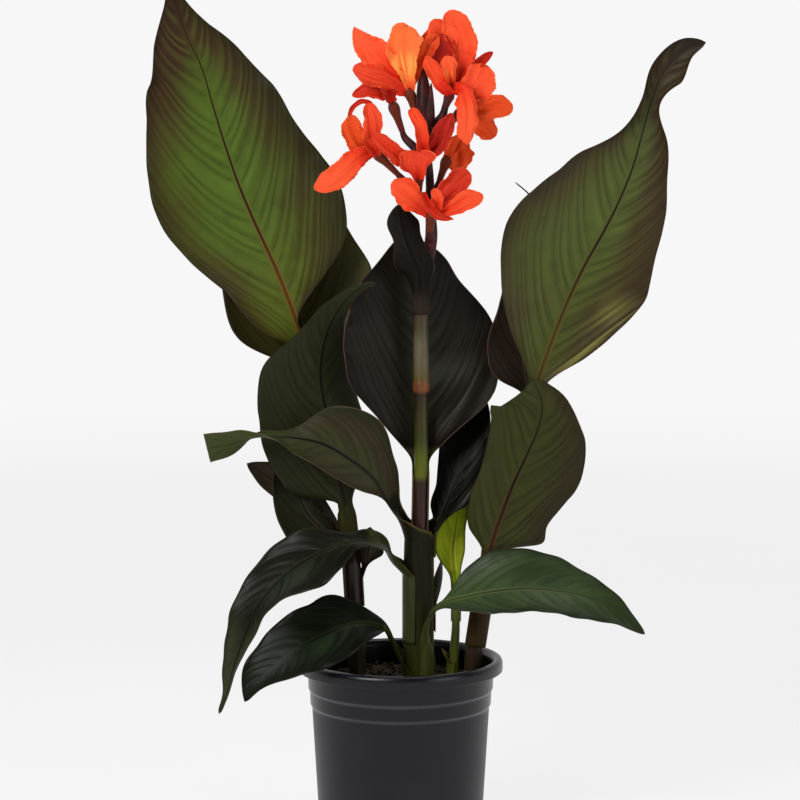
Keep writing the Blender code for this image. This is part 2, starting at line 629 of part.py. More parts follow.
# A thin closed sheet. Each row holds midrib x y z, upper normal x y z, left and right
# half width, trough angle and how far the sheath has opened into a blade (0 to 1).
# Both faces are split into triangles alike.
def sheet(rows, columns, thick, rib, wave, waves):
    spine = rows[:, :3]
    along = unit(np.gradient(spine, axis=0))
    normal = rows[:, 3:6]
    normal = unit(normal - along * np.sum(along * normal, axis=1)[:, None])
    across = np.cross(along, normal)
    length = np.concatenate([[0], np.cumsum(np.linalg.norm(np.diff(spine, axis=0), axis=1))])
    length /= length[-1]
    beside_rib = (columns // 2 - 1, columns // 2 + 1) if rib > 0 else ()
    grid = np.zeros((len(rows), columns + 1, 3))
    for i in range(len(rows)):
        left, right = np.maximum(rows[i, 6:8], LEAST_HALF)
        trough = math.radians(max(rows[i, 8], 1.0))
        open_part = min(max(rows[i, 9], 0), 1)
        for j, place in enumerate(np.linspace(-1, 1, columns + 1)):
            half = left if place < 0 else right
            if j in beside_rib:
                slim = min(RIB_HALF / half, abs(place))
                place = math.copysign(abs(place) * (1 - open_part) + slim * open_part, place)
            bend = trough * abs(place)
            radius = half / trough
            sideways = math.copysign(radius * math.sin(bend), place)
            lift = radius * (1 - math.cos(bend))
            size = wave * open_part * min(1, half / 0.03) * abs(place) ** 3
            lift += size * math.sin(2 * math.pi * waves * length[i] + 1.9 * np.sign(place))
            grid[i, j] = spine[i] + across[i] * sideways + normal[i] * lift
    down = np.gradient(grid, axis=0)
    over = np.gradient(grid, axis=1)
    faces_up = unit(np.cross(over, down))
    upper = grid + faces_up * thick / 2
    back = np.full((len(rows), columns + 1), thick / 2)
    back[:, columns // 2] += rib * (1 - length) * np.clip(rows[:, 9], 0, 1)
    lower = grid - faces_up * back[:, :, None]
    return sheet_faces(upper, lower)


def sheet_faces(upper, lower):
    count, wide = upper.shape[:2]
    points = np.concatenate([upper.reshape(-1, 3), lower.reshape(-1, 3)])
    under = count * wide
    faces = []
    for i in range(count - 1):
        for j in range(wide - 1):
            a = i * wide + j
            b, c, d = a + 1, a + wide + 1, a + wide
            faces += [(a, b, c), (a, c, d)]
            faces += [(under + a, under + c, under + b), (under + a, under + d, under + c)]
    edge = [j for j in range(wide)]
    edge += [i * wide + wide - 1 for i in range(1, count)]
    edge += [(count - 1) * wide + j for j in range(wide - 2, -1, -1)]
    edge += [i * wide for i in range(count - 2, 0, -1)]
    for a, b in zip(edge, edge[1:] + edge[:1]):
        faces += [(a, under + a, b), (b, under + a, under + b)]
    return points, faces


def shoot_axis(shoot, height):
    path = np.array(SHOOTS[shoot])
    return np.array([np.interp(height, path[:, 2], path[:, k]) for k in (0, 1)] + [height])


# The sheath's stations, which stay one distance from the shoot's axis
def clasp_rows(shoot, side, radius, wrap, low, high):
    angle = math.radians(side)
    outward = np.array((math.cos(angle), math.sin(angle), 0.0))
    inner = [p[2] for p in SHOOTS[shoot] if low + 0.012 < p[2] < high - 0.012]
    half = radius * math.radians(wrap)
    rows = []
    for height in [low] + inner + [high]:
        middle = shoot_axis(shoot, height)
        rows.append([*(middle + outward * radius), *(-outward), half, half, wrap, 0])
    return rows


def leaf(name, spec):
    clasp = clasp_rows(*spec["clasp"])
    table = np.array(spec["rows"])
    guide = np.vstack([np.array(clasp)[-2:, :3], table[:, :3]])
    normals = facing(guide, np.concatenate([[0, 0], table[:, 5]]))[2:]
    opening = np.minimum(np.arange(len(table)) / OPEN_ROWS, 1)[:, None]
    blade = np.hstack([table[:, :3], normals, table[:, 3:5], table[:, 6:7], opening])
    stations = np.vstack([clasp, blade])
    gaps = np.linalg.norm(np.diff(stations[:, :3], axis=0), axis=1)
    counts = [max(1, round(gap / BLADE_STEP)) for gap in gaps]
    for i in range(len(clasp) - 1):
        counts[i] = 1
    rows = through(stations, counts)
    columns = SMALL_COLUMNS if table[:, 3:5].max() < SMALL_HALF else BLADE_COLUMNS
    points, faces = sheet(rows, columns, BLADE, MIDRIB_BACK, spec["wave"], spec["waves"])
    return make_object(name, points, faces, spec["colour"], 0.45)


def petal(name, throat, spec):
    bow, tip, width, roll, tip_roll, trough = spec
    t = np.array(PETAL_STEPS)[:, None]
    start, middle, end = np.array(throat), np.array(bow), np.array(tip)
    spine = start * (1 - t) ** 2 + middle * 2 * t * (1 - t) + end * t * t
    t = t[:, 0]
    normals = facing(spine, roll + (tip_roll - roll) * t)
    half = 0.0016 * (1 - t) + width * np.sin(math.pi * t ** 1.3 * 0.93) ** 0.8
    rows = np.column_stack([spine, normals, half, half, np.full(len(t), trough), np.ones(len(t))])
    points, faces = sheet(rows, PETAL_COLUMNS, PETAL_THICK, 0.0, 0.0012, 2.5)
    return make_object(name, points, faces, BLOOM_COLOUR)


# A flower: a tapered tube that widens from the ovary to the throat, and its petals
def bloom(name, spec):
    join, throat = np.array(spec["join"]), np.array(spec["throat"])
    reach = unit(throat - join)
    foot = join + reach * GAP
    middle, mouth = (foot + throat) / 2, throat + reach * 0.003
    path = [(*foot, TUBE_FOOT), (*middle, TUBE_FOOT * 1.4), (*throat, TUBE_MOUTH * 0.9),
            (*mouth, TUBE_MOUTH * 0.5)]
    body = rod(name, path, 7, BLOOM_COLOUR)
    petals = []
    for i, petal_spec in enumerate(spec["petals"]):
        petals.append(petal(name + str(i), throat - reach * 0.002, petal_spec))
    return combine(body, petals, "UNION", "MANIFOLD")


# The burgundy axis with the ovaries and the closed buds on it
def flower_spike():
    body = rod("flower_spike", SPIKE, 10, SPIKE_COLOUR)
    parts = []
    for name, spec in BLOOMS.items():
        stalk, join = np.array(spec["stalk"]), np.array(spec["join"])
        reach = unit(np.array(spec["throat"]) - join)
        swell = stalk + (join - stalk) * 0.55
        neck = join - reach * 0.003
        path = [(*stalk, 0.0020), (*swell, OVARY_RADIUS), (*neck, TUBE_FOOT + 0.0006),
                (*join, TUBE_FOOT + 0.0002)]
        parts.append(rod("ovary", path, 7, SPIKE_COLOUR))
    for foot, tip, radius in BUDS:
        foot, tip = np.array(foot), np.array(tip)
        path = [(*(foot + (tip - foot) * t), radius * r)
                for t, r in ((0, 0.4), (0.25, 0.8), (0.5, 1.0), (0.8, 0.6), (1, 0.12))]
        parts.append(rod("bud", path, 7, SPIKE_COLOUR))
    return combine(body, parts, "UNION")


def pot_inside(height):
    slope = (BODY_TOP_RADIUS - BODY_FOOT_RADIUS) / SECOND_BAND_LOW
    return BODY_FOOT_RADIUS + slope * height - POT_WALL


def pot():
    bead = LIP_RADIUS - LIP_BEAD_RADIUS
    lip_low = POT_HEIGHT - LIP_DEPTH
    outline = [
        (0.0, 0.0),
        (0.030, 0.0),
        (BODY_FOOT_RADIUS - FOOT_ROUND, 0.0),
        (BODY_FOOT_RADIUS - FOOT_ROUND * 0.25, FOOT_ROUND * 0.3),
        (BODY_FOOT_RADIUS + 0.0003, FOOT_ROUND),
        (BODY_TOP_RADIUS, SECOND_BAND_LOW),
        (SECOND_BAND_RADIUS, SECOND_BAND_LOW + 0.0016),
        (SECOND_BAND_RADIUS + 0.0006, BAND_LOW),
        (BAND_RADIUS, BAND_LOW + 0.0016),
        (BAND_RADIUS + 0.0008, lip_low + 0.008),
        (LIP_RADIUS - LIP_SKIRT - 0.0006, lip_low + 0.007),
        (LIP_RADIUS - LIP_SKIRT, lip_low),
        (LIP_RADIUS, lip_low),
        (LIP_RADIUS, POT_HEIGHT - bead * 0.9),
        (LIP_BEAD_RADIUS + bead * 0.72, POT_HEIGHT - bead * 0.25),
        (LIP_BEAD_RADIUS, POT_HEIGHT),
        (LIP_BEAD_RADIUS - bead * 0.72, POT_HEIGHT - bead * 0.25),
        (BAND_RADIUS - POT_WALL + 0.0008, POT_HEIGHT - bead * 1.1),
        (BAND_RADIUS - POT_WALL, BAND_LOW + 0.004),
        (BODY_TOP_RADIUS - POT_WALL, SECOND_BAND_LOW - 0.004),
        (pot_inside(POT_WALL) - FOOT_ROUND * 0.5, POT_WALL + 0.0012),
        (0.030, POT_WALL + 0.0006),
        (0.0, POT_WALL + 0.0006),
    ]
    shell = turned("pot", outline, POT_SEGMENTS, (0.028, 0.028, 0.032), 0.38)
    cutters = []
    for i in range(DRAIN_HOLES):
        angle = 2 * math.pi * (i + 0.5) / DRAIN_HOLES
        x, y = DRAIN_CIRCLE * math.cos(angle), DRAIN_CIRCLE * math.sin(angle)
        path = [(x, y, z, DRAIN_RADIUS) for z in (-0.004, 0.010)]
        cutters.append(rod("drain", path, 10, (0, 0, 0)))
    return combine(shell, cutters, "DIFFERENCE")


def rhizome_path(extra):
    path = []
    for i, x in enumerate(np.linspace(*RHIZOME_ENDS, RHIZOME_JOINTS)):
        swell = 1.0 if i % 2 else 0.90
        end = math.sin(math.pi * (i + 0.9) / (RHIZOME_JOINTS + 0.8)) ** 0.35
        path.append((x, 0.012 - 0.06 * x, RHIZOME_Z, RHIZOME_RADIUS * swell * end + extra))
    path[0] = (path[0][0] - extra, *path[0][1:])
    path[-1] = (path[-1][0] + extra, *path[-1][1:])
    return path


def soil():
    rng = np.random.default_rng(4)
    floor = POT_WALL + 0.0006 + GAP
    outline = [
        (0.0, floor),
        (0.030, floor),
        (pot_inside(POT_WALL) - FOOT_ROUND * 0.5 - GAP, floor + 0.0012),
        (BODY_TOP_RADIUS - POT_WALL - GAP, SECOND_BAND_LOW - 0.004),
        (BAND_RADIUS - POT_WALL - 2 * GAP, BAND_LOW + 0.004),
        (BAND_RADIUS - POT_WALL - 2 * GAP, SOIL_TOP - 0.002),
        (0.078, SOIL_TOP),
        (0.056, SOIL_TOP + 0.001),
        (0.030, SOIL_TOP + 0.002),
        (0.0, SOIL_TOP + 0.002),
    ]
    body = turned("soil", outline, POT_SEGMENTS, (0.020, 0.014, 0.010), 0.95)
    for vertex in body.data.vertices:
        if vertex.co.z > SOIL_TOP - 0.001:
            vertex.co.z += rng.uniform(-SOIL_LUMP, SOIL_LUMP)
    cutters = [rod("hollow", rhizome_path(RHIZOME_CLEARANCE), 12, (0, 0, 0))]
    for shoot, radius in SHOOT_HOLES.items():
        low = shoot_axis(shoot, SHOOT_FOOT)
        rise = shoot_axis(shoot, SOIL_TOP) - low
        path = [(*(low - rise * 0.3), radius), (*(low + rise * 1.6), radius)]
        cutters.append(rod("hole", path, 16, (0, 0, 0)))
    return combine(body, cutters, "DIFFERENCE")


def build():
    for old in list(bpy.data.objects):
        bpy.data.objects.remove(old, do_unlink=True)
    pot()
    soil()
    rod("rhizome", rhizome_path(0.0), 12, (0.250, 0.170, 0.090), 0.8)
    for shoot, path in SHOOTS.items():
        rod("stem_" + shoot, path, SHOOT_SIDES, SHOOT_COLOURS[shoot], 0.4)
    for name, spec in LEAVES.items():
        leaf(name, spec)
    flower_spike()
    for name, spec in BLOOMS.items():
        bloom(name, spec)


build()
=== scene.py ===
# Canna lily in flower, growing in its nursery pot: the finish of every surface.
# Metres, +Z up. The plant faces -Y, and the bottom centre of the pot is the origin.

import json
import math

import bmesh
import bpy
import numpy as np
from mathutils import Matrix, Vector

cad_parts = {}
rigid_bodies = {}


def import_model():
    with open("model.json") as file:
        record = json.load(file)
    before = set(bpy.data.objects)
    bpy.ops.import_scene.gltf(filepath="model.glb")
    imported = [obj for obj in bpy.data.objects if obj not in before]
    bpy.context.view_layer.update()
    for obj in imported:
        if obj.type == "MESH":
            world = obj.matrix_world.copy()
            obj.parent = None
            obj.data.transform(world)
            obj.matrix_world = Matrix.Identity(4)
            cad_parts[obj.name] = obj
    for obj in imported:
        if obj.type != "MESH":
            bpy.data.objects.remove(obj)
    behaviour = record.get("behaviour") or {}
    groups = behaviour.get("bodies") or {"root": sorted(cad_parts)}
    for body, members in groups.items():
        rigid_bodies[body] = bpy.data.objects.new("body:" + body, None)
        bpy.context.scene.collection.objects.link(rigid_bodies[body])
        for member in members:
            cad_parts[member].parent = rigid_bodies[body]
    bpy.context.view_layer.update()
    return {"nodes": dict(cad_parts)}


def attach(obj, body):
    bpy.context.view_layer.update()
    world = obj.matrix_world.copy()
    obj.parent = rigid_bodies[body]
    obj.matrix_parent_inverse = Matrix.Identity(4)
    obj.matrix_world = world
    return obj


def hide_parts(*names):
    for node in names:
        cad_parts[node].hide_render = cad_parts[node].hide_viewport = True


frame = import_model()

print("frame loaded:", len(frame["nodes"]), "nodes")


# Colours are given as a paint maker would, 0 to 255, and turned into linear light
def paint(colour, by=1.0, plus=0.0):
    parts = [min(255, part * by + plus) / 255 for part in colour]
    return (*[p / 12.92 if p < 0.04045 else ((p + 0.055) / 1.055) ** 2.4 for p in parts], 1.0)


def metres(millimetres):
    return np.array(millimetres, dtype=float) / 1000


# A ramp's stops: place, then colour
def setStops(elements, stops):
    while len(elements) < len(stops):
        elements.new(0.5)
    for element, (place, colour) in zip(elements, stops):
        element.position = place
        element.color = colour


# An operator of two sockets or numbers, and its reflected form
def forms(operation):
    return (lambda self, other: self.sums(operation, self, other),
            lambda self, other: self.sums(operation, other, self))


# One socket, with the operators that shader sums use
class Wire:
    __add__, __radd__ = forms("ADD")
    __sub__, __rsub__ = forms("SUBTRACT")
    __mul__, __rmul__ = forms("MULTIPLY")
    __truediv__, __rtruediv__ = forms("DIVIDE")
    __pow__, __rpow__ = forms("POWER")

    def __init__(self, owner, socket):
        self.owner = owner
        self.socket = socket

    def sums(self, operation, *terms):
        return self.owner.node("ShaderNodeMath", {"operation": operation}, dict(enumerate(terms)))

    def __abs__(self):
        return self.sums("ABSOLUTE", self)

    def sine(self):
        return self.sums("SINE", self)

    # Smooth passage from 0 at low to 1 at high, or to other results
    def step(self, low, high, before=0.0, after=1.0):
        sockets = {0: self, 1: low, 2: high, 3: before, 4: after}
        return self.owner.node("ShaderNodeMapRange", {"interpolation_type": "SMOOTHSTEP"}, sockets)


# Makes any node in a tree: its type, its settings, then its sockets
class Nodes:
    def __init__(self, tree):
        self.tree = tree

    def node(self, kind, settings=None, sockets=None, output=0):
        made = self.tree.nodes.new(kind)
        for key, value in (settings or {}).items():
            if key == "stops":
                setStops(made.color_ramp.elements, value)
            else:
                setattr(made, key, value)
        for key, value in (sockets or {}).items():
            if isinstance(value, Wire):
                self.tree.links.new(value.socket, made.inputs[key])
            else:
                made.inputs[key].default_value = value
        return Wire(self, made.outputs[output])

    def parts(self, vector):
        split = self.node("ShaderNodeSeparateXYZ", None, {0: vector})
        return [Wire(self, split.socket.node.outputs[i]) for i in range(3)]

    def where(self, space="Object"):
        return self.node("ShaderNodeTexCoord", None, None, space)

    def noise(self, scale, detail=3.0, place=None, stretch=None):
        place = place or self.where()
        if stretch:
            multiply = {"operation": "MULTIPLY"}
            place = self.node("ShaderNodeVectorMath", multiply, {0: place, 1: stretch})
        sockets = {"Vector": place, "Scale": scale, "Detail": detail}
        return self.node("ShaderNodeTexNoise", None, sockets)

    def mix(self, share, first, second, way="MIX"):
        settings = {"data_type": "RGBA", "blend_type": way}
        return self.node("ShaderNodeMix", settings, {0: share, 6: first, 7: second}, 2)

    def join(self, x, y, z=0.0):
        return self.node("ShaderNodeCombineXYZ", None, {0: x, 1: y, 2: z})


# A Principled material in the making, with the colour laid so far
class Finish(Nodes):
    def __init__(self, name, gloss, **fixed):
        self.material = bpy.data.materials.new(name)
        self.material.use_nodes = True
        super().__init__(self.material.node_tree)
        self.shader = self.tree.nodes["Principled BSDF"]
        self.shader.inputs["Specular IOR Level"].default_value = gloss
        for socket, value in fixed.items():
            self.shader.inputs[socket.replace("_", " ")].default_value = value
        self.colour = None

    # The two numbers that a mesh keeps in one of its UV maps
    def kept(self, layer):
        return self.parts(self.node("ShaderNodeUVMap", {"uv_map": layer}))[:2]

    # Lays a paint, or a wire of colour, over what is there
    def lay(self, share, tone, way="MIX"):
        self.colour = self.mix(share, self.colour, tone, way)

    def feed(self, socket, wire):
        self.tree.links.new(wire.socket, self.shader.inputs[socket])

    def close(self, roughness, height, distance, strength):
        self.feed("Base Color", self.colour)
        self.feed("Roughness", roughness)
        relief = {"Height": height, "Distance": distance, "Strength": strength}
        self.feed("Normal", self.node("ShaderNodeBump", None, relief))
        return self.material


# Mesh helpers

def unit(vector):
    return vector / np.maximum(np.linalg.norm(vector, axis=-1, keepdims=True), 1e-12)


def link(name, data):
    made = bpy.data.objects.new(name, data)
    bpy.context.collection.objects.link(made)
    return made


def makeMesh(name, points, faces, finish=None):
    mesh = bpy.data.meshes.new(name)
    mesh.from_pydata(np.asarray(points).tolist(), [], faces)
    if finish:
        mesh.materials.append(finish)
    return mesh


def makePiece(name, points, faces, finish, replaced, layers=None):
    mesh = makeMesh(name, points, faces, finish)
    mesh.shade_smooth()
    corner = np.empty(len(mesh.loops), dtype=np.int32)
    mesh.loops.foreach_get("vertex_index", corner)
    for layer, values in (layers or {}).items():
        made = mesh.uv_layers.new(name=layer)
        made.data.foreach_set("uv", np.asarray(values, dtype=np.float32)[corner].ravel())
    piece = link(name, mesh)
    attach(piece, "root")
    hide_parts(replaced)
    return piece


# Quads over a grid of points, numbered row by row
def gridFaces(rows, columns, start=0, flip=False, closed=False):
    faces = []
    for i in range(rows - 1):
        for j in range(columns if closed else columns - 1):
            k = (j + 1) % columns
            low = start + i * columns
            high = low + columns
            quad = (low + j, low + k, high + k, high + j)
            faces.append(quad[::-1] if flip else quad)
    return faces


def sheetFaces(rows, columns):
    under = rows * columns
    faces = gridFaces(rows, columns) + gridFaces(rows, columns, under, True)
    edge = list(range(columns))
    edge += [i * columns + columns - 1 for i in range(1, rows)]
    edge += [(rows - 1) * columns + j for j in range(columns - 2, -1, -1)]
    edge += [i * columns for i in range(rows - 2, 0, -1)]
    for a, b in zip(edge, edge[1:] + edge[:1]):
        faces.append((a, under + a, under + b, b))
    return faces


# Faces of a closed tube of rings, with both ends shut
def tubeFaces(rings, sides):
    last = rings * sides
    ends = [tuple(range(sides))[::-1], tuple(range(last - sides, last))]
    return gridFaces(rings, sides, closed=True) + ends


# A thin closed sheet: its two faces stand off the grid by over and under
def sheet(grid, over, under):
    up = unit(np.cross(np.gradient(grid, axis=1), np.gradient(grid, axis=0)))
    upper = grid + up * over[:, :, None]
    lower = grid - up * under[:, :, None]
    points = np.concatenate([upper.reshape(-1, 3), lower.reshape(-1, 3)])
    return points, sheetFaces(*grid.shape[:2])


# A strip's cross section, bent into an arc: reach to the side, and lift
def arc(half, bend, place):
    radius = half / bend
    turned = bend * np.abs(place)
    return np.sign(place) * radius * np.sin(turned), radius * (1 - np.cos(turned))


def strip(spine, across, normal, sideways, lift):
    beside = across[:, None] * sideways[:, :, None]
    return spine[:, None] + beside + normal[:, None] * lift[:, :, None]


# The same numbers for the upper and the under face of a sheet
def bothFaces(*values):
    layer = np.stack(np.broadcast_arrays(*values), axis=2).reshape(-1, 2)
    return np.concatenate([layer, layer])


def runAlong(points):
    return np.concatenate([[0], np.cumsum(np.linalg.norm(np.diff(points, axis=0), axis=1))])


# Loose parts gathered into one mesh
class Heap:
    def __init__(self):
        self.points, self.faces, self.layers, self.count = [], [], {}, 0

    def add(self, points, faces, **layers):
        self.points.append(points)
        self.faces += [tuple(self.count + k for k in face) for face in faces]
        self.count += len(points)
        for layer, value in layers.items():
            rows = np.broadcast_to(value, (len(points), 2))
            self.layers.setdefault(layer, []).append(rows)

    def joined(self):
        return np.concatenate(self.points), self.faces

    def make(self, name, finish, replaced):
        layers = {layer: np.concatenate(rows) for layer, rows in self.layers.items()}
        return makePiece(name, *self.joined(), finish, replaced, layers)


# Smooth curve through rows of numbers, and for each new row the place in the old list
def through(rows, counts):
    rows = np.array(rows, dtype=float)
    gaps = np.linalg.norm(np.diff(rows[:, :3], axis=0), axis=1)[:, None]
    rise = np.diff(rows, axis=0) / gaps
    slope = np.vstack([rise[:1], rise])
    slope[1:-1] = (rise[:-1] * gaps[1:] + rise[1:] * gaps[:-1]) / (gaps[1:] + gaps[:-1])
    result = []
    places = []
    for i, count in enumerate(counts):
        h = gaps[i, 0]
        for t in np.arange(count) / count:
            start = (1 + 2 * t) * (1 - t) ** 2 * rows[i] + t * (1 - t) ** 2 * h * slope[i]
            end = t * t * (3 - 2 * t) * rows[i + 1] + t * t * (t - 1) * h * slope[i + 1]
            result.append(start + end)
            places.append(i + t)
    return np.array(result + [rows[-1]]), np.array(places + [len(rows) - 1])


def facing(points, rolls):
    along = unit(np.gradient(points, axis=0))
    front = np.array((0.0, -1.0, 0.0))
    base = unit(front - along * (along @ front)[:, None])
    across = np.cross(along, base)
    turn = np.radians(rolls)[:, None]
    return base * np.cos(turn) + across * np.sin(turn)


# The camera, where the photograph was taken from, and soft studio light
studio = {
    "target": (-0.0007, 0.0, 0.450),
    "distance": 2.5,
    "tilt": 5.5,
    "lens": 112.5,
    "backdrop": 0.93,       # what the camera sees behind the plant
    "skyBehind": 0.75,      # light from the white paper behind the plant
    "skyBefore": 0.10,      # light from the darker room in front of it
    "skyPassage": (-0.35, 0.55),
    "lamps": [
        # name, place, size, watts
        ("key", (-1.3, -1.8, 1.7), 1.1, 46.0),
        ("fill", (1.9, -1.5, 0.9), 1.3, 16.0),
        ("top", (0.2, 0.3, 2.6), 1.2, 16.0),
    ],
    "floorSize": 2000.0,
    "floorGlow": 0.74,      # the paper is lit from below, so that it stays white
    "floorFade": (0.8, 5.0),    # metres over which the paper passes into the backdrop
    "floorPaint": ((116, 116, 117), (122, 122, 123)),
}


def aim(thing, place, target):
    thing.location = place
    direction = Vector(target) - Vector(place)
    thing.rotation_euler = direction.to_track_quat("-Z", "Y").to_euler()


# White paper for the eye, and for light a soft wrap that is dimmer on the camera's side
def setWorld():
    world = bpy.data.worlds.new("studio")
    world.use_nodes = True
    nodes = Nodes(world.node_tree)
    depth = nodes.parts(nodes.where("Generated"))[1]
    wrap = depth.step(*studio["skyPassage"], studio["skyBefore"], studio["skyBehind"])
    seen = nodes.node("ShaderNodeLightPath", None, None, "Is Camera Ray")
    strength = nodes.node("ShaderNodeMix", None, {0: seen, 2: wrap, 3: studio["backdrop"]})
    back = nodes.tree.nodes["Background"]
    back.inputs["Color"].default_value = (1.0, 1.0, 1.0, 1.0)
    nodes.tree.links.new(strength.socket, back.inputs["Strength"])
    bpy.context.scene.world = world


def setFloor():
    half = studio["floorSize"] / 2
    corners = [(-half, -half, 0.0), (half, -half, 0.0), (half, half, 0.0), (-half, half, 0.0)]
    finish = Finish("floor", 0.0, Roughness=0.8, Emission_Strength=1.0)
    x, y, _ = finish.parts(finish.where())
    far = ((x * x + y * y) ** 0.5).step(*studio["floorFade"])
    grey = finish.mix(finish.noise(3.0), *(paint(tone) for tone in studio["floorPaint"]))
    finish.feed("Base Color", finish.mix(far, grey, (0.0, 0.0, 0.0, 1.0)))
    near, end = ((light, light, light, 1.0) for light in (studio["floorGlow"], studio["backdrop"]))
    finish.feed("Emission Color", finish.mix(far, near, end))
    floor = link("floor", makeMesh("floor", corners, [(0, 1, 2, 3)], finish.material))


def setStudio():
    lens = bpy.data.cameras.new("camera")
    lens.lens = studio["lens"]
    lens.sensor_width = 36.0
    camera = link("camera", lens)
    tilt = math.radians(studio["tilt"])
    back = Vector((0.0, -math.cos(tilt), math.sin(tilt))) * studio["distance"]
    aim(camera, Vector(studio["target"]) + back, studio["target"])
    bpy.context.scene.camera = camera
    for name, place, size, watts in studio["lamps"]:
        lamp = bpy.data.lights.new(name, "AREA")
        lamp.size = size
        lamp.energy = watts
        aim(link(name, lamp), place, studio["target"])
    setWorld()
    setFloor()
    bpy.context.scene.view_settings.view_transform = "Standard"


setStudio()
print("camera, lamps and floor are set")


# Shoots, in millimetres: points up the axis, each x, y, z, radius
shootFoot = 130.9
claspFoot = shootFoot + 4      # where the lowest sheaths begin
shoots = {
    "centre": metres([
        (18.5, 0, shootFoot, 12), (18.5, 0, 170, 13.5), (18.5, 0, 290, 13.5), (19, 0, 304, 7),
        (20.5, 0, 390, 7), (20.5, 0, 456, 6.6), (20.5, 0, 459, 8.4), (20.5, 0, 466, 8.6),
        (20.5, 0, 469, 7.8), (20.2, 0, 520, 7.4), (20.2, 0, 560, 6.8),
    ]),
    "left": metres([
        (-44, 12, shootFoot, 8.5), (-44.5, 12, 200, 8.5), (-49, 12, 285, 8.5),
        (-50.5, 11, 298, 4.5), (-54.5, 10, 334, 4),
    ]),
    "right": metres([
        (70, 6, shootFoot, 9), (74, 6, 190, 9), (86, 5, 270, 8.5), (88, 5, 284, 4.2),
        (90.5, 5, 310, 3.6),
    ]),
    "small": metres([
        (50, 14, shootFoot, 5.5), (53.2, 15, 171, 5.5), (56, 18, 215, 4.2), (56.5, 19, 258, 3.6),
    ]),
}
# Colours up each shoot: height in metres, then paint
shootPaint = {
    "centre": [
        (0.290, (34, 30, 16)), (0.330, (46, 20, 17)), (0.368, (44, 24, 16)), (0.374, (86, 92, 6)),
        (0.394, (82, 88, 4)), (0.408, (54, 56, 4)), (0.440, (48, 44, 8)), (0.456, (44, 30, 14)),
        (0.460, (112, 66, 28)), (0.466, (108, 60, 28)), (0.473, (84, 72, 36)),
        # On the centre shoot the two paler stops from 0.484 to 0.506 are its pale skin with a
        # painted highlight laid in
        (0.484, (86, 78, 56)), (0.506, (92, 84, 66)), (0.522, (62, 56, 30)),
        (0.540, (62, 44, 34)), (0.556, (58, 40, 34)),
    ],
    "left": [(0.150, (56, 54, 20)), (0.230, (38, 27, 18)), (0.330, (32, 20, 14))],
    "right": [(0.150, (52, 34, 20)), (0.220, (50, 38, 22)), (0.300, (78, 82, 24))],
    "small": [(0.150, (94, 102, 28)), (0.200, (84, 94, 22)), (0.258, (88, 98, 22))],
}


shootWork = {
    "rowStep": 0.0012,
    "sides": 40,
    "ribs": (0.010, 11),    # height as a share of the radius, and count
    "streak": (150, 146, 92),
    "blotch": (60, 44, 30),
    "streakScale": 420.0,
    "blotchScale": 70.0,
    "gloss": 0.25,
    "rough": 0.26,
    "relief": (0.0003, 0.5),    # depth in metres, and strength
}


# Smooth fibrous skin: fine streaks along the shoot and a soft bloom
def shootFinish(name, stops):
    work = shootWork
    finish = Finish(name, work["gloss"])
    low, high = stops[0][0], stops[-1][0]
    ramp = [((height - low) / (high - low), paint(tone)) for height, tone in stops]
    place = (finish.parts(finish.where())[2] - low) / (high - low)
    finish.colour = finish.node("ShaderNodeValToRGB", {"stops": ramp}, {0: place})
    streak = finish.noise(work["streakScale"], 3.0, None, (1.0, 1.0, 0.04))
    blotch = finish.noise(work["blotchScale"], 3.0, None, (1.0, 1.0, 0.4))
    finish.lay(streak.step(0.35, 0.7) * 0.45, paint(work["streak"]), "SOFT_LIGHT")
    finish.lay(blotch.step(0.45, 0.75) * 0.4, paint(work["blotch"]), "MULTIPLY")
    return finish.close(work["rough"] + blotch * 0.22, streak, *work["relief"])


# A closed round rod along points x, y, z, radius, with fine ribs
def rodMesh(path, sides, rib=0.0, ribs=9):
    path = np.array(path)
    axis = path[:, :3]
    along = unit(np.gradient(axis, axis=0))
    side = unit(np.cross(along, (0.0, 1.0, 0.2)))
    front = np.cross(along, side)
    angles = np.arange(sides) * 2 * math.pi / sides
    radius = path[:, 3:] * (1 + rib * np.cos(angles * ribs))
    points = strip(axis, side, front, radius * np.cos(angles), radius * np.sin(angles))
    return points.reshape(-1, 3), tubeFaces(len(path), sides)


# Even rows along a rod, with its steps rounded
def evenRod(path, step):
    run = runAlong(path[:, :3])
    even = np.linspace(0, run[-1], max(4, round(run[-1] / step)))
    rows = np.column_stack([np.interp(even, run, path[:, k]) for k in range(4)])
    rounded = rows[:, 3].copy()
    for _ in range(3):
        rounded[1:-1] = (rounded[:-2] + rounded[1:-1] + rounded[2:]) / 3
    rows[:, 3] = np.minimum(rows[:, 3], rounded)
    return rows


def buildShoots():
    work = shootWork
    for shoot, path in shoots.items():
        points, faces = rodMesh(evenRod(path, work["rowStep"]), work["sides"], *work["ribs"])
        finish = shootFinish("shoot_" + shoot, shootPaint[shoot])
        makePiece("shoot_" + shoot, points, faces, finish, "stem_" + shoot)
    print("shoots built")
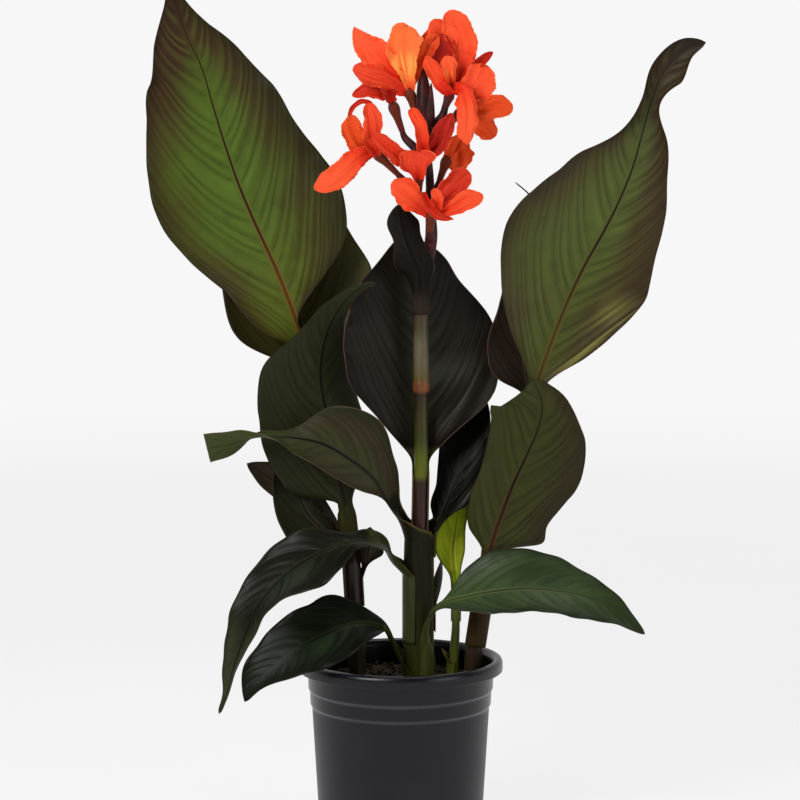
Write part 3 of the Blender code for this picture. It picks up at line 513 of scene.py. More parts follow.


# Leaves, in millimetres and degrees. "clasp" is the sheath: shoot, side of the midrib from
# +X, radius of the sheath, half the angle that it wraps, and its lowest and highest point.
# "rows" run from the sheath's mouth to the tip: midrib x, y, z, half width on the left and
# right as seen from the upper face, roll (0 turns the upper face to -Y) and the half angle
# of the trough. "blade" is the row where the blade opens, "wave" the height and count of
# the margin's waves, and "pleat" the depth at a side vein. Paints: "heart" along the middle
# of the blade, "side" towards the margins, "end" at the tip, "rib" the midrib, "rim" the
# margin, "back" the under face, "stalk" the sheath and its stalk, "seam" the sheath's edges
# and "root" the foot of the blade. "gleam" is a painted highlight, a patch of sheen laid into
# the colour: its place across and along, its half sizes and its paint. "shadow" is painted
# shade laid over one side of the blade: its paint and that side (on leaf_upper_left_back the
# paint is lighter, a painted light). "dip" gives the two heights in metres between which the
# sheath passes into the blade.
leaves = {
    "leaf_upper_left": {
        "clasp": ("left", 90, 5.6, 95, 306, 334), "blade": 2.4, "wave": (4, 4), "pleat": 0.7,
        "heart": (66, 86, 23), "side": (60, 54, 17), "end": (56, 36, 20), "rib": (76, 50, 10),
        "rim": (30, 16, 10), "back": (56, 60, 30), "stalk": (44, 34, 14), "shine": 0.1,
        "rough": 0.44, "root": (80, 80, 22), "shadow": (34, 30, 6, 1),
        "rows": [
            (-64, 21, 373, 6, 6, 0, 95), (-82, 27, 439, 6, 6, 0, 80), (-96, 26, 502, 9, 9, 0, 45),
            (-104, 26, 525, 33, 1, 0, 24), (-126, 30, 581, 58, 81, -4, 16),
            (-145, 34, 622, 78, 97, -6, 14), (-161, 37, 659, 88, 91, -6, 12),
            (-176, 38, 702, 83, 77, -4, 12), (-190, 36, 749, 68, 64, 0, 14),
            (-199, 32, 781, 58, 44, 4, 16), (-214, 26, 814, 36, 26, 6, 20),
            (-224, 18, 847, 11, 9, 6, 20), (-229, 12, 868, 2, 2, 6, 10),
        ],
    },
    "leaf_upper_left_back": {
        "clasp": ("left", 90, 7.3, 92, 306, 328), "blade": 1.4, "wave": (4, 3), "pleat": 0.4,
        "heart": (58, 56, 16), "side": (46, 42, 14), "end": (44, 34, 20), "rib": (52, 46, 30),
        "rim": (60, 44, 30), "back": (52, 52, 30), "stalk": (46, 38, 26), "shadow": (98, 96, 58, 1),
        "rows": [
            (-61, 36, 358, 8, 8, 0, 90), (-76, 50, 435, 8, 8, 0, 70), (-90, 56, 476, 11, 32, 0, 30),
            (-102, 60, 520, 65, 70, 0, 24), (-110, 62, 564, 73, 84, 0, 22),
            (-116, 64, 606, 68, 67, 0, 20), (-125, 66, 669, 50, 44, 0, 20),
            (-141, 66, 719, 30, 26, 0, 20), (-152, 64, 752, 3, 3, 0, 10),
        ],
    },
    "leaf_left_middle": {
        "clasp": ("left", -90, 9.5, 100, 303, 330), "blade": 0.2, "wave": (3, 3), "pleat": 0.5,
        "heart": (36, 39, 16), "side": (27, 26, 11), "end": (24, 22, 12), "rib": (22, 20, 10),
        "rim": (44, 34, 22), "back": (34, 37, 18), "stalk": (36, 34, 10),
        "rows": [
            (-56, -2, 346, 12, 12, 180, 90), (-60, -2, 362, 20, 49, 184, 46),
            (-64, 0, 385, 34, 61, 198, 30), (-75, 4, 437, 45, 70, 206, 26),
            (-81, 8, 477, 40, 60, 206, 26), (-77, 10, 507, 24, 30, 204, 26),
            (-65, -6, 536, 12, 17, 194, 26), (-51, -20, 554, 6, 8, 182, 20),
            (-34, -26, 566, 3, 3, 180, 10), (-23, -28, 568, 2, 2, 180, 5),
        ],
    },
    "leaf_left_lower": {
        "clasp": ("left", 180, 9.9, 50, 240, 288), "blade": 0.3, "wave": (2, 2), "pleat": 0.4,
        "heart": (28, 29, 12), "side": (24, 24, 10), "end": (24, 22, 10), "rib": (40, 33, 23),
        "rim": (52, 34, 28), "back": (34, 32, 18), "stalk": (40, 30, 22), "green": 0.3,
        "seam": (70, 72, 24),
        "rows": [
            (-65, 10, 301, 7, 7, 90, 60), (-77, 13, 315, 38, 14, 40, 40),
            (-95, 18, 334, 32, 10, 10, 28), (-106, 24, 361, 25, 11, 2, 22),
            (-112, 28, 391, 15, 11, 0, 20), (-113, 30, 415, 3, 3, 0, 10),
        ],
    },
    "leaf_left_lower_back": {
        "clasp": ("left", 95, 9.9, 26, 240, 285), "blade": 0.3, "wave": (1, 2), "pleat": 0.3,
        "heart": (52, 44, 30), "side": (46, 38, 26), "end": (42, 34, 22), "rib": (66, 54, 40),
        "rim": (62, 46, 36), "back": (52, 44, 30), "stalk": (40, 30, 22),
        "rows": [
            (-61, 32, 308, 6, 6, 0, 60), (-86, 40, 330, 16, 18, 0, 36),
            (-115, 45, 353, 15, 20, 0, 28), (-138, 45, 369, 12, 16, 0, 22),
            (-157, 42, 381, 2, 2, 0, 10),
        ],
    },
    "leaf_left_small": {
        "clasp": ("left", 15, 9.9, 45, 240, 268), "blade": 0.3, "wave": (1, 2), "pleat": 0.3,
        "heart": (50, 46, 34), "side": (44, 38, 28), "end": (42, 34, 24), "rib": (48, 42, 32),
        "rim": (70, 48, 36), "back": (50, 46, 34), "stalk": (40, 30, 22),
        "rows": [
            (-35, 14, 280, 6, 6, -60, 50), (-33, 16, 291, 16, 27, -40, 40),
            (-32, 18, 303, 16, 18, -30, 34), (-31, 20, 319, 3, 3, -30, 10),
        ],
    },
    "leaf_droop_left": {
        "clasp": ("centre", 195, 16.6, 62, 205, 274), "blade": 2, "wave": (3, 4), "pleat": 0.7,
        "heart": (18, 21, 9), "side": (14, 16, 6), "end": (50, 54, 32), "rib": (24, 26, 12),
        "rim": (44, 36, 22), "back": (34, 33, 18), "stalk": (44, 46, 22), "shine": 0.12,
        "rough": 0.28, "gleam": (-0.35, 0.36, 0.45, 0.22, (46, 52, 38)), "tipDark": 0.9,
        "seam": (52, 50, 16),
        "rows": [
            (-9, -13, 288, 15, 15, 100, 56), (-19, -20, 305, 17, 16, 78, 44),
            (-35, -27, 311, 12, 16, 60, 34), (-50, -31, 311, 19, 12, 52, 28),
            (-72, -38, 305, 34, 27, 46, 20), (-97, -44, 293, 39, 34, 43, 15),
            (-120, -49, 276, 29, 34, 41, 14), (-140, -53, 252, 16, 27, 39, 16),
            (-153, -55, 222, 11, 22, 37, 20), (-165, -56, 189, 5, 14, 35, 24),
            (-173, -56, 161, 3, 4, 33, 20), (-180, -55, 143, 2, 2, 30, 10),
        ],
    },
    "leaf_lowest_left": {
        "clasp": ("centre", 232, 16.6, 28, claspFoot, 166), "blade": 2.2, "wave": (3, 3),
        "pleat": 0.7, "heart": (10, 16, 4), "side": (7, 11, 3), "end": (16, 22, 7),
        "rib": (22, 28, 10), "rim": (40, 36, 20), "back": (24, 28, 12), "stalk": (38, 44, 14),
        "shine": 0.1, "rough": 0.28, "gleam": (-0.3, 0.4, 0.45, 0.22, (30, 42, 22)),
        "seam": (52, 50, 16),
        "rows": [
            (-4, -20, 195, 6, 6, 80, 80), (-11, -27, 212, 6, 6, 80, 80),
            (-17, -36, 225, 7, 7, 70, 60), (-30, -46, 232, 20, 15, 50, 36),
            (-52, -56, 232, 33, 36, 42, 24), (-75, -66, 224, 36, 35, 36, 18),
            (-99, -74, 213, 32, 35, 33, 16), (-120, -79, 197, 21, 31, 30, 16),
            (-140, -81, 178, 7, 21, 30, 20), (-153, -81, 161, 2, 2, 30, 10),
        ],
    },
    "leaf_low_right": {
        "clasp": ("centre", -50, 16.6, 40, claspFoot, 186), "blade": 1.4, "wave": (3, 3),
        "pleat": 0.7, "heart": (54, 70, 36), "side": (44, 58, 30), "end": (38, 50, 24),
        "rib": (60, 70, 36), "rim": (54, 54, 28), "back": (56, 64, 34), "stalk": (56, 60, 24),
        "shine": 0.18, "rough": 0.3, "gleam": (-0.4, 0.46, 0.5, 0.2, (30, 42, 22)), "tipDark": 0.75,
        "ribDark": 0.7, "seam": (52, 50, 16),
        "rows": [
            (26, -21, 217, 7, 7, -125, 38), (32, -25, 237, 9, 9, -90, 50),
            (44, -29, 250, 5, 15, -62, 36), (63, -32, 256, 26, 22, -51, 26),
            (89, -36, 262, 42, 29, -47, 20), (118, -41, 266, 45, 33, -45, 17),
            (150, -45, 265, 40, 31, -44, 16), (180, -49, 260, 25, 29, -44, 17),
            (208, -52, 249, 15, 22, -44, 19), (227, -54, 236, 7, 13, -43, 20),
            (241, -55, 223, 2, 2, -40, 10),
        ],
    },
    "leaf_twisted": {
        "clasp": ("centre", 190, 15.1, 160, claspFoot, 310), "blade": 2.2, "wave": (2, 3),
        "pleat": 0.6, "blunt": True, "heart": (46, 49, 26), "side": (46, 38, 24),
        "end": (48, 58, 22), "rib": (30, 24, 14), "rim": (84, 66, 46), "back": (60, 68, 32),
        "stalk": (20, 19, 6), "shine": 0.1, "rough": 0.38,
        "rows": [
            (2, -5, 319, 24, 24, 100, 98), (-3, -8, 332, 15, 15, 82, 64),
            (-13, -17, 349, 3, 19, 48, 40), (-27, -28, 374, 18, 28, 16, 26),
            (-52, -38, 396, 24, 50, 4, 22), (-78, -42, 411, 23, 40, 10, 22),
            (-101, -42, 416, 20, 14, 34, 20), (-122, -40, 417, 13, 8, 62, 40),
            (-140, -39, 417, 11, 11, 90, 56), (-158, -40, 413, 17, 17, 128, 16),
            (-175, -41, 409, 16, 16, 150, 4), (-191, -41, 406, 17, 17, 158, 1),
        ],
    },
    "leaf_boat": {
        "clasp": ("centre", 28, 16.6, 56, 292, 316), "blade": 0.4, "wave": (1, 2), "pleat": 0.6,
        "heart": (5, 6, 2), "side": (4, 4, 2), "end": (5, 5, 2), "rib": (12, 12, 6),
        "rim": (30, 26, 16), "back": (16, 16, 8), "stalk": (24, 22, 8), "shine": 0.07,
        "rough": 0.32, "gleam": (0.62, 0.3, 0.34, 0.34, (84, 84, 74)),
        "rows": [
            (40, 9, 325, 10, 11, -50, 60), (45, 15, 339, 16, 29, -34, 44),
            (52, 23, 358, 17, 29, -24, 36), (59, 31, 384, 22, 31, -18, 34),
            (66, 37, 411, 24, 27, -12, 32), (72, 42, 438, 15, 20, -8, 28),
            (75, 44, 466, 2, 2, 0, 10),
        ],
    },
    "leaf_centre_back": {
        "clasp": ("centre", 90, 8.4, 120, 308, 372), "blade": 0.8, "wave": (3, 3), "pleat": 0.5,
        "heart": (24, 23, 13), "side": (26, 20, 14), "end": (20, 15, 10), "rib": (26, 22, 12),
        "rim": (92, 66, 58), "back": (32, 27, 20), "stalk": (70, 64, 48), "shine": 0.1,
        "rough": 0.36, "gleam": (0.5, 0.26, 0.75, 0.2, (70, 70, 60)),
        "rows": [
            (20, 12, 389, 13, 13, 0, 76), (20, 14, 407, 26, 28, 0, 48),
            (20, 16, 427, 44, 48, 4, 30), (21, 20, 454, 75, 72, 12, 20),
            (22, 26, 496, 88, 79, 19, 15), (21, 28, 528, 86, 70, 21, 14),
            (17, 28, 559, 76, 46, 20, 14), (12, 26, 583, 59, 34, 16, 14),
            (7, 24, 602, 25, 19, 8, 16), (4, 22, 617, 2, 2, 0, 10),
        ],
    },
    "leaf_flower_cup": {
        "clasp": ("centre", -100, 8.8, 100, 536, 556), "blade": 0.6, "wave": (1, 2), "pleat": 0.3,
        "heart": (8, 4, 3), "side": (6, 3, 2), "end": (7, 4, 3), "rib": (10, 6, 4),
        "rim": (70, 44, 38), "back": (20, 15, 11), "stalk": (36, 27, 21), "dip": (0.566, 0.546),
        "rows": [
            (19, -11, 565, 17, 17, 180, 88), (18, -15, 579, 20, 20, 180, 58),
            (11, -18, 595, 17, 20, 180, 22), (4, -15, 612, 17, 12, 184, 22),
            (0, -10, 630, 18, 14, 188, 24), (-1, -2, 646, 3, 3, 190, 10),
        ],
    },
    "leaf_upper_right": {
        "clasp": ("right", 90, 5.3, 90, 290, 306), "blade": 2.1, "wave": (4, 4), "pleat": 0.7,
        "heart": (68, 78, 32), "side": (58, 50, 24), "end": (52, 38, 26), "rib": (62, 50, 14),
        "rim": (34, 18, 14), "back": (56, 56, 30), "stalk": (60, 60, 20), "shine": 0.14,
        "rough": 0.42, "gleam": (0.85, 0.15, 0.46, 0.17, (136, 132, 64)), "root": (56, 60, 8),
        "shadow": (58, 42, 20, 1), "footRim": 0.2,
        "rows": [
            (108, 14, 351, 6, 6, 0, 90), (124, 18, 414, 6, 6, 0, 90), (138, 20, 467, 12, 10, 0, 50),
            (152, 22, 507, 49, 41, 2, 22), (167, 25, 545, 75, 60, 4, 16),
            (186, 28, 585, 92, 70, 4, 14), (205, 29, 619, 86, 59, 4, 14),
            (221, 28, 652, 71, 49, 2, 16), (233, 24, 684, 55, 36, 0, 26),
            (241, 18, 716, 26, 30, 0, 60), (249, 10, 747, 18, 14, 0, 95),
            (262, 2, 779, 17, 24, 0, 60), (282, -5, 799, 11, 12, 0, 40),
            (300, -9, 804, 2, 2, 0, 10),
        ],
    },
    "leaf_right_back": {
        "clasp": ("right", 90, 7.9, 84, 288, 302), "blade": 2.2, "wave": (2, 3), "pleat": 0.4,
        "heart": (32, 25, 16), "side": (32, 23, 15), "end": (22, 15, 9), "rib": (40, 34, 25),
        "rim": (84, 54, 42), "back": (36, 28, 20), "stalk": (46, 42, 18),
        "rows": [
            (110, 28, 345, 10, 10, 0, 84), (128, 34, 416, 8, 8, 0, 80),
            (131, 34, 455, 10, 10, 0, 50), (127, 33, 479, 35, 16, 0, 28),
            (123, 34, 502, 37, 22, 0, 24), (122, 38, 537, 25, 22, 0, 20),
            (123, 42, 579, 15, 30, 0, 24), (125, 44, 619, 6, 14, 0, 40),
            (131, 44, 652, 1.2, 1.2, 0, 20), (115, 42, 667, 0.6, 0.6, 0, 10),
        ],
    },
    "leaf_right_middle": {
        "clasp": ("right", -90, 10.4, 120, 200, 280), "blade": 0.2, "wave": (3, 3), "pleat": 0.6,
        "heart": (50, 52, 20), "side": (46, 38, 22), "end": (44, 36, 20), "rib": (50, 30, 16),
        "rim": (60, 42, 26), "back": (50, 53, 22), "stalk": (50, 34, 18), "green": 0.2,
        "seam": (150, 84, 78), "shadow": (42, 31, 24, -1),
        "rows": [
            (89, -6, 295, 10, 10, 180, 80), (93, -8, 312, 47, 27, 180, 40),
            (102, -10, 339, 50, 36, 180, 24), (114, -12, 371, 60, 36, 184, 18),
            (127, -12, 399, 62, 43, 184, 16), (138, -9, 426, 51, 51, 184, 18),
            (141, -4, 448, 27, 51, 182, 20), (137, 0, 460, 14, 48, 180, 20),
            (134, 2, 466, 9, 30, 180, 20), (131, 4, 470, 3, 3, 180, 10),
        ],
    },
    "leaf_lime_shoot": {
        "clasp": ("small", 90, 5, 90, 222, 252), "blade": 0.3, "wave": (1, 2), "pleat": 0.3,
        "heart": (172, 188, 34), "side": (156, 170, 30), "end": (110, 124, 26),
        "rib": (160, 172, 44), "rim": (80, 78, 22), "back": (140, 156, 34), "stalk": (140, 154, 34),
        "ribDark": 0.85, "tipDark": 0.8,
        "rows": [
            (55, 24, 268, 6, 7, 0, 60), (53, 29, 291, 19, 13, 0, 40), (56, 35, 317, 19, 11, 0, 40),
            (60, 41, 341, 11, 11, 0, 40), (62, 45, 364, 2, 2, 0, 10),
        ],
    },
    "leaf_dark_bract": {
        "clasp": ("centre", 22, 16.6, 34, 215, 240), "blade": 0, "wave": (1, 2), "pleat": 0.2,
        "heart": (38, 42, 18), "side": (32, 33, 17), "end": (48, 32, 22), "rib": (44, 44, 23),
        "rim": (72, 52, 34), "back": (38, 42, 20), "stalk": (46, 48, 22),
        "rows": [
            (39, 8, 260, 12, 12, -70, 34), (41, 9, 274, 9, 9, -70, 28), (41, 9, 287, 2, 2, -70, 10),
        ],
    },
    "leaf_scale_centre": {
        "clasp": ("centre", 165, 16.6, 34, claspFoot, 182), "blade": 0, "wave": (0, 1),
        "pleat": 0.1, "heart": (66, 70, 26), "side": (60, 62, 24), "end": (72, 50, 32),
        "rib": (72, 74, 32), "rim": (96, 76, 50), "back": (64, 68, 26), "stalk": (62, 66, 26),
        "rows": [
            (-2, 4, 192, 8, 8, 70, 34), (-4, 4, 202, 2, 2, 70, 20),
        ],
    },
    "leaf_scale_small": {
        "clasp": ("small", 200, 6.8, 80, claspFoot, 182), "blade": 0, "wave": (0, 1), "pleat": 0.1,
        "heart": (92, 100, 30), "side": (84, 90, 28), "end": (90, 64, 34), "rib": (98, 102, 44),
        "rim": (116, 92, 58), "back": (88, 94, 28), "stalk": (90, 98, 28),
        "rows": [
            (44, 9, 190, 5, 5, 78, 50), (41, 7, 197, 2, 2, 70, 30),
        ],
    },
}
# How fine the leaves are, and the relief that every leaf shares
leafWork = {
    "openRows": 3,          # rows over which the sheath opens into the blade
    "sheathMargin": 0.012,  # a shoot's points this near to a sheath's ends are left out
    "columns": (14, 76),    # fewest and most
    "crowding": 1.25,       # of the columns towards the midrib
    "leastHalf": 0.0005,
    "rowStep": 0.0032,      # metres between rows
    "columnStep": 0.0025,   # metres between columns of the widest row
    "bladeThick": 0.00075,
    "rimThick": 0.00035,
    "ribHeight": 0.0016,    # of the midrib, on the under face
    "ribHalf": 0.0035,
    "grooveDepth": 0.0005,  # of the midrib, on the upper face
    "pleatStep": 0.0185,    # metres of midrib from one side vein to the next
    "pleatShare": 0.62,     # of the depth that a leaf names, near its midrib
    "veinLean": 0.75,       # how far a side vein leans to the tip at the midrib
    "veinSweep": 1.15,      # how much more it leans at the margin
    "rimRuffle": 0.0009,
    "ruffleStep": 0.031,
    "tipRound": 0.006,
    "fullWave": 0.03,       # half width from which the margin waves in full
    "pleatEdge": (0.003, 0.010, 0.006),  # fade of the pleats at the midrib and the margin
    "rimFade": 0.004,
    "gloss": 0.08,          # of a leaf that names no shine
    "rough": 0.42,
    "cloudScale": 16.0,
    "patchScale": 60.0,
    "fibreScale": 300.0,
    "grainScale": 900.0,
    "greenFoot": (64, 68, 18),
    "seam": (96, 88, 34),
    "relief": (0.00034, 0.8),   # depth in metres, and strength
}


def shootAxis(shoot, height):
    path = shoots[shoot]
    return np.array([np.interp(height, path[:, 2], path[:, k]) for k in (0, 1)] + [height])


# The sheath's stations, which stay one distance from the shoot's axis
def claspRows(shoot, side, radius, wrap, low, high):
    radius, low, high = metres((radius, low, high))
    angle = math.radians(side)
    outward = np.array((math.cos(angle), math.sin(angle), 0.0))
    margin = leafWork["sheathMargin"]
    inner = [p[2] for p in shoots[shoot] if low + margin < p[2] < high - margin]
    half = radius * math.radians(wrap)
    rows = []
    for height in [low] + inner + [high]:
        middle = shootAxis(shoot, height)
        rows.append([*(middle + outward * radius), *(-outward), half, half, wrap, 0])
    return rows


def leafRows(spec):
    clasp = claspRows(*spec["clasp"])
    table = np.array(spec["rows"], dtype=float)
    table[:, :5] /= 1000
    guide = np.vstack([np.array(clasp)[-2:, :3], table[:, :3]])
    normals = facing(guide, np.concatenate([[0, 0], table[:, 5]]))[2:]
    opening = np.minimum(np.arange(len(table)) / leafWork["openRows"], 1)[:, None]
    blade = np.hstack([table[:, :3], normals, table[:, 3:5], table[:, 6:7], opening])
    stations = np.vstack([clasp, blade])
    gaps = np.linalg.norm(np.diff(stations[:, :3], axis=0), axis=1)
    rows, places = through(stations, [max(3, round(gap / leafWork["rowStep"])) for gap in gaps])
    sheath = places < len(clasp) - 1
    order = np.arange(len(stations))
    for k in range(rows.shape[1]):
        rows[sheath, k] = np.interp(places[sheath], order, stations[:, k])
    return rows, places - len(clasp)


# The grid of a leaf, and for each point its place on the blade
def leafGrid(spec):
    rows, places = leafRows(spec)
    work = leafWork
    spine = rows[:, :3]
    along = unit(np.gradient(spine, axis=0))
    normal = unit(rows[:, 3:6] - along * np.sum(along * rows[:, 3:6], axis=1)[:, None])
    across = np.cross(along, normal)
    start = np.interp(spec["blade"], places, runAlong(spine))
    run = runAlong(spine)[:, None]
    length = run / run[-1]
    left, right = (np.maximum(rows[:, k:k + 1], work["leastHalf"]) for k in (6, 7))
    fade = np.clip((run[-1] - run) / work["tipRound"], 0, 1)
    fade = 1.0 if spec.get("blunt") else np.sqrt(np.maximum(1 - (1 - fade) ** 2, 0.004))
    widest = max((left + right).max(), 0.008)
    columns = int(np.clip(round(widest / work["columnStep"]), *work["columns"])) // 2 * 2
    even = np.linspace(-1, 1, columns + 1)
    even = np.sign(even) * np.abs(even) ** work["crowding"]
    hand, size = np.sign(even), np.abs(even)
    opened = np.clip(rows[:, 9:], 0, 1)
    half = np.where(even < 0, left, right) * fade
    sideways, lift = arc(half, np.radians(np.maximum(rows[:, 8:9], 1.0)), even)
    height, waves = spec["wave"]
    swing = height / 1000 * opened * np.minimum(1, half / work["fullWave"])
    lift = lift + swing * size ** 3 * np.sin(2 * math.pi * waves * length + 1.9 * hand)
    reach = half * size
    broad = np.maximum((left + right) / 2, 0.006)
    vein = run - start - work["veinLean"] * reach - work["veinSweep"] * reach ** 2 / broad
    wander = 0.25 * np.sin(vein * 61.0) + 0.2 * np.sin(vein * 143.0 + 1.0 + hand * 0.8)
    beat = vein / work["pleatStep"] + wander
    inner, passage, outer = work["pleatEdge"]
    onBlade = np.clip((run - start) / 0.03, 0, 1) * opened
    pleat = spec["pleat"] / 1000 * work["pleatShare"] * onBlade * (1 - 0.75 * size ** 2)
    pleat = pleat * np.clip((reach - inner) / passage, 0, 1)
    pleat = pleat * np.clip((1 - size) * half / outer, 0, 1)
    lift = lift + pleat * np.sin(2 * math.pi * beat)
    ruffle = work["rimRuffle"] * onBlade * size ** 6 * np.minimum(1, half / 0.02)
    lift = lift + ruffle * np.sin(2 * math.pi * run / work["ruffleStep"] + 2.3 * hand)
    layers = {
        "place": bothFaces(even, (run - start) / (run[-1] - start)),
        "veins": bothFaces(beat, reach * 1000),
    }
    return strip(spine, across, normal, sideways, lift), layers, (opened, half, size, length)


def leafMesh(spec):
    grid, layers, (opened, half, size, length) = leafGrid(spec)
    work = leafWork
    reach = half * size
    rimShare = np.clip((1 - size) * half / work["rimFade"], 0, 1)
    thick = work["rimThick"] + (work["bladeThick"] - work["rimThick"]) * rimShare
    ribHalf = work["ribHalf"] * (1 - 0.65 * length)
    alive = (1 - length) * opened
    rib = work["ribHeight"] * alive * np.clip(1 - (reach / ribHalf) ** 2, 0, 1) ** 1.2
    groove = work["grooveDepth"] * alive * np.clip(1 - (reach / (ribHalf * 0.7)) ** 2, 0, 1)
    points, faces = sheet(grid, thick / 2 - groove, thick / 2 + rib)
    layers["face"] = np.zeros((len(points), 2))
    layers["face"][len(points) // 2:, 0] = 1.0
    return points, faces, layers


# The living blade: paint by place, side veins, fine parallel veins, a soft gloss
def leafFinish(name, look):
    work = leafWork
    finish = Finish(name, look.get("shine", work["gloss"]))
    across, share = finish.kept("place")
    vein, reach = finish.kept("veins")
    under = finish.kept("face")[0]
    size = abs(across)
    height = finish.parts(finish.where())[2]
    broad = finish.noise(work["cloudScale"])
    patch = finish.noise(work["patchScale"], 4.0)
    streak = finish.noise(1.0, 2.0, finish.join(vein * 2.2, reach * 0.022, under * 9.0))
    thread = finish.noise(1.0, 3.0, finish.join(vein * 13.0, reach * 0.05, under * 9.0))
    stripes = (vein * (2 * math.pi)).sine()
    cloud, flow = broad - 0.5, streak - 0.5
    heart, side, stalk = look["heart"], look["side"], look["stalk"]

    # Broad colours from the midrib to the margin and from the foot to the tip
    spread = (size + across * 0.22 + cloud * 0.7 + flow * 0.2).step(0.10, 0.80)
    finish.colour = finish.mix(spread, paint(heart), paint(side))
    tip = (share + cloud * 0.24 + flow * 0.14 + size * 0.20).step(0.58, 0.92)
    finish.lay(tip, paint(look["end"]))
    finish.lay(share.step(0.84, 1.0) * 0.8, paint(look["end"], look.get("tipDark", 0.42)))
    margin = (size + across * 0.06 + cloud * 0.2 + flow * 0.06).step(0.66, 1.02) * 0.75
    margin = margin * share.step(0.04, 0.40, look.get("footRim", 1.0), 1.0)
    finish.lay(margin, paint(look["end"], 0.55))
    if "root" in look:
        finish.lay((share + cloud * 0.3 + size * 0.35).step(0.50, 0.08) * 0.7, paint(look["root"]))
    finish.lay(under * 0.85, paint(look["back"]))
    # Painted shade over one half of the blade; on leaf_upper_left_back its paint is lighter, a
    # painted light
    if "shadow" in look:
        *tone, way = look["shadow"]
        finish.lay((across * way + cloud * 0.5 + flow * 0.12).step(0.20, 0.90) * 0.62, paint(tone))

    # Veins and fine lines, which fade at the foot, the midrib and the margin; among them painted
    # shade in the creases of the pleats and a painted highlight on their ridges
    halfWidth = reach / (size + 0.001)
    onBlade = share.step(-0.01, 0.05) * reach.step(1.5, 6.0) * halfWidth.step(7.0, 18.0)
    onBlade = onBlade * (1.0 - size.step(0.35, 1.0) * 0.72)
    light = streak.step(0.50, 0.72) * onBlade * (1.0 - tip * 0.8)
    finish.lay(light * 0.26, paint(heart, 1.30, 4))
    finish.lay(streak.step(0.48, 0.28) * onBlade * 0.22, paint(side, 0.66))
    finish.lay((thread - 0.5).step(0.02, 0.22) * onBlade * 0.16, paint(side, 0.6))
    # Painted shade: a dark line along the crease of each pleat
    finish.lay(stripes.step(-0.86, -1.0) * onBlade * 0.26, paint(side, 0.52))
    # Painted highlight: a light band along the ridge of each pleat
    finish.lay(stripes.step(-0.2, 1.0) * onBlade * 0.14, paint(heart, 1.30, 8))
    finish.lay(patch.step(0.5, 0.8) * 0.26, paint(side, 0.70))
    # Painted highlight: a patch of sheen laid into the colour, on the upper face only
    if "gleam" in look:
        a, t, wide, long, gleam = look["gleam"]
        spot = (abs(across - a) / wide).step(1.0, 0.2) * (abs(share - t) / long).step(1.0, 0.2)
        band = finish.noise(1.0, 1.0, finish.join(vein * 0.7, reach * 0.012, 5.0))
        spot = spot * (band + stripes * 0.03 + (thread - 0.5) * 0.12).step(0.34, 0.64)
        finish.lay(spot * (1.0 - under) * 0.72, paint(gleam))

    # Midrib, sheath and rim
    rib = look["rib"]
    ribWidth = 2.9 - share * 2.7
    ribTone = finish.mix(share.step(0.05, 0.42), paint(rib), paint(rib, look.get("ribDark", 0.34)))
    ribEdge = (reach - ribWidth).step(0.9, -0.2) * share.step(0.80, 0.15)
    finish.lay(ribEdge * 0.8, paint(rib, 1.3, 10))
    finish.lay((reach - ribWidth * 0.62 - 0.1).step(0.35, -0.35), ribTone)
    low = height.step(0.27, 0.16) * look.get("green", 0.7)
    foot = finish.mix(low, paint(stalk), paint(work["greenFoot"]))
    fibre = finish.noise(work["fibreScale"], 3.0, None, (1.0, 1.0, 0.06))
    foot = finish.mix(fibre.step(0.45, 0.7) * 0.4, foot, paint(stalk, 1.5, 10))
    foot = finish.mix(size.step(0.80, 0.98) * 0.5, foot, paint(look.get("seam", work["seam"])))
    finish.lay(height.step(*look["dip"]) if "dip" in look else share.step(0.0, -0.04), foot)
    rim = (reach + 0.6 + thread * 0.5) / (halfWidth + 0.001)
    finish.lay(rim.step(0.992, 1.012) * 0.7, paint(look["rim"]))

    rough = look.get("rough", work["rough"]) + patch * 0.16 + under * 0.08 - light * 0.05
    relief = (thread * 0.35 + streak * 0.9 - stripes.step(-0.70, -1.0) * 1.4) * onBlade
    relief = relief + finish.noise(work["grainScale"], 2.0) * 0.2
    return finish.close(rough, relief, *work["relief"])


def buildLeaves():
    for name, spec in leaves.items():
        points, faces, layers = leafMesh(spec)
        blade = name.replace("leaf_", "blade_")
        makePiece(blade, points, faces, leafFinish(name, spec), name, layers)
    print("leaves built")


# Flower spike, in millimetres: points up its axis, each x, y, z, radius
spike = metres([
    (20.3, 0, 561, 6.6), (22, 0, 575, 6.4), (28, -1, 595, 6.2), (30.5, -2, 612, 6.2),
    (30, 0, 635, 5.2), (29, 0, 669, 4.2), (27, 1, 699, 3.4), (26, 0, 728, 2.6),
])
# Closed buds, in millimetres: foot, tip and greatest radius
buds = [
    ((26, 1, 708), (21, -3, 786), 7.8), ((27, -3, 696), (30, -10, 764), 5.4),
    ((29, -3, 692), (48, -12, 753), 5), ((28, -4, 690), (40, -10, 736), 3.4),
    ((26, 4, 704), (14, 4, 756), 3),
]
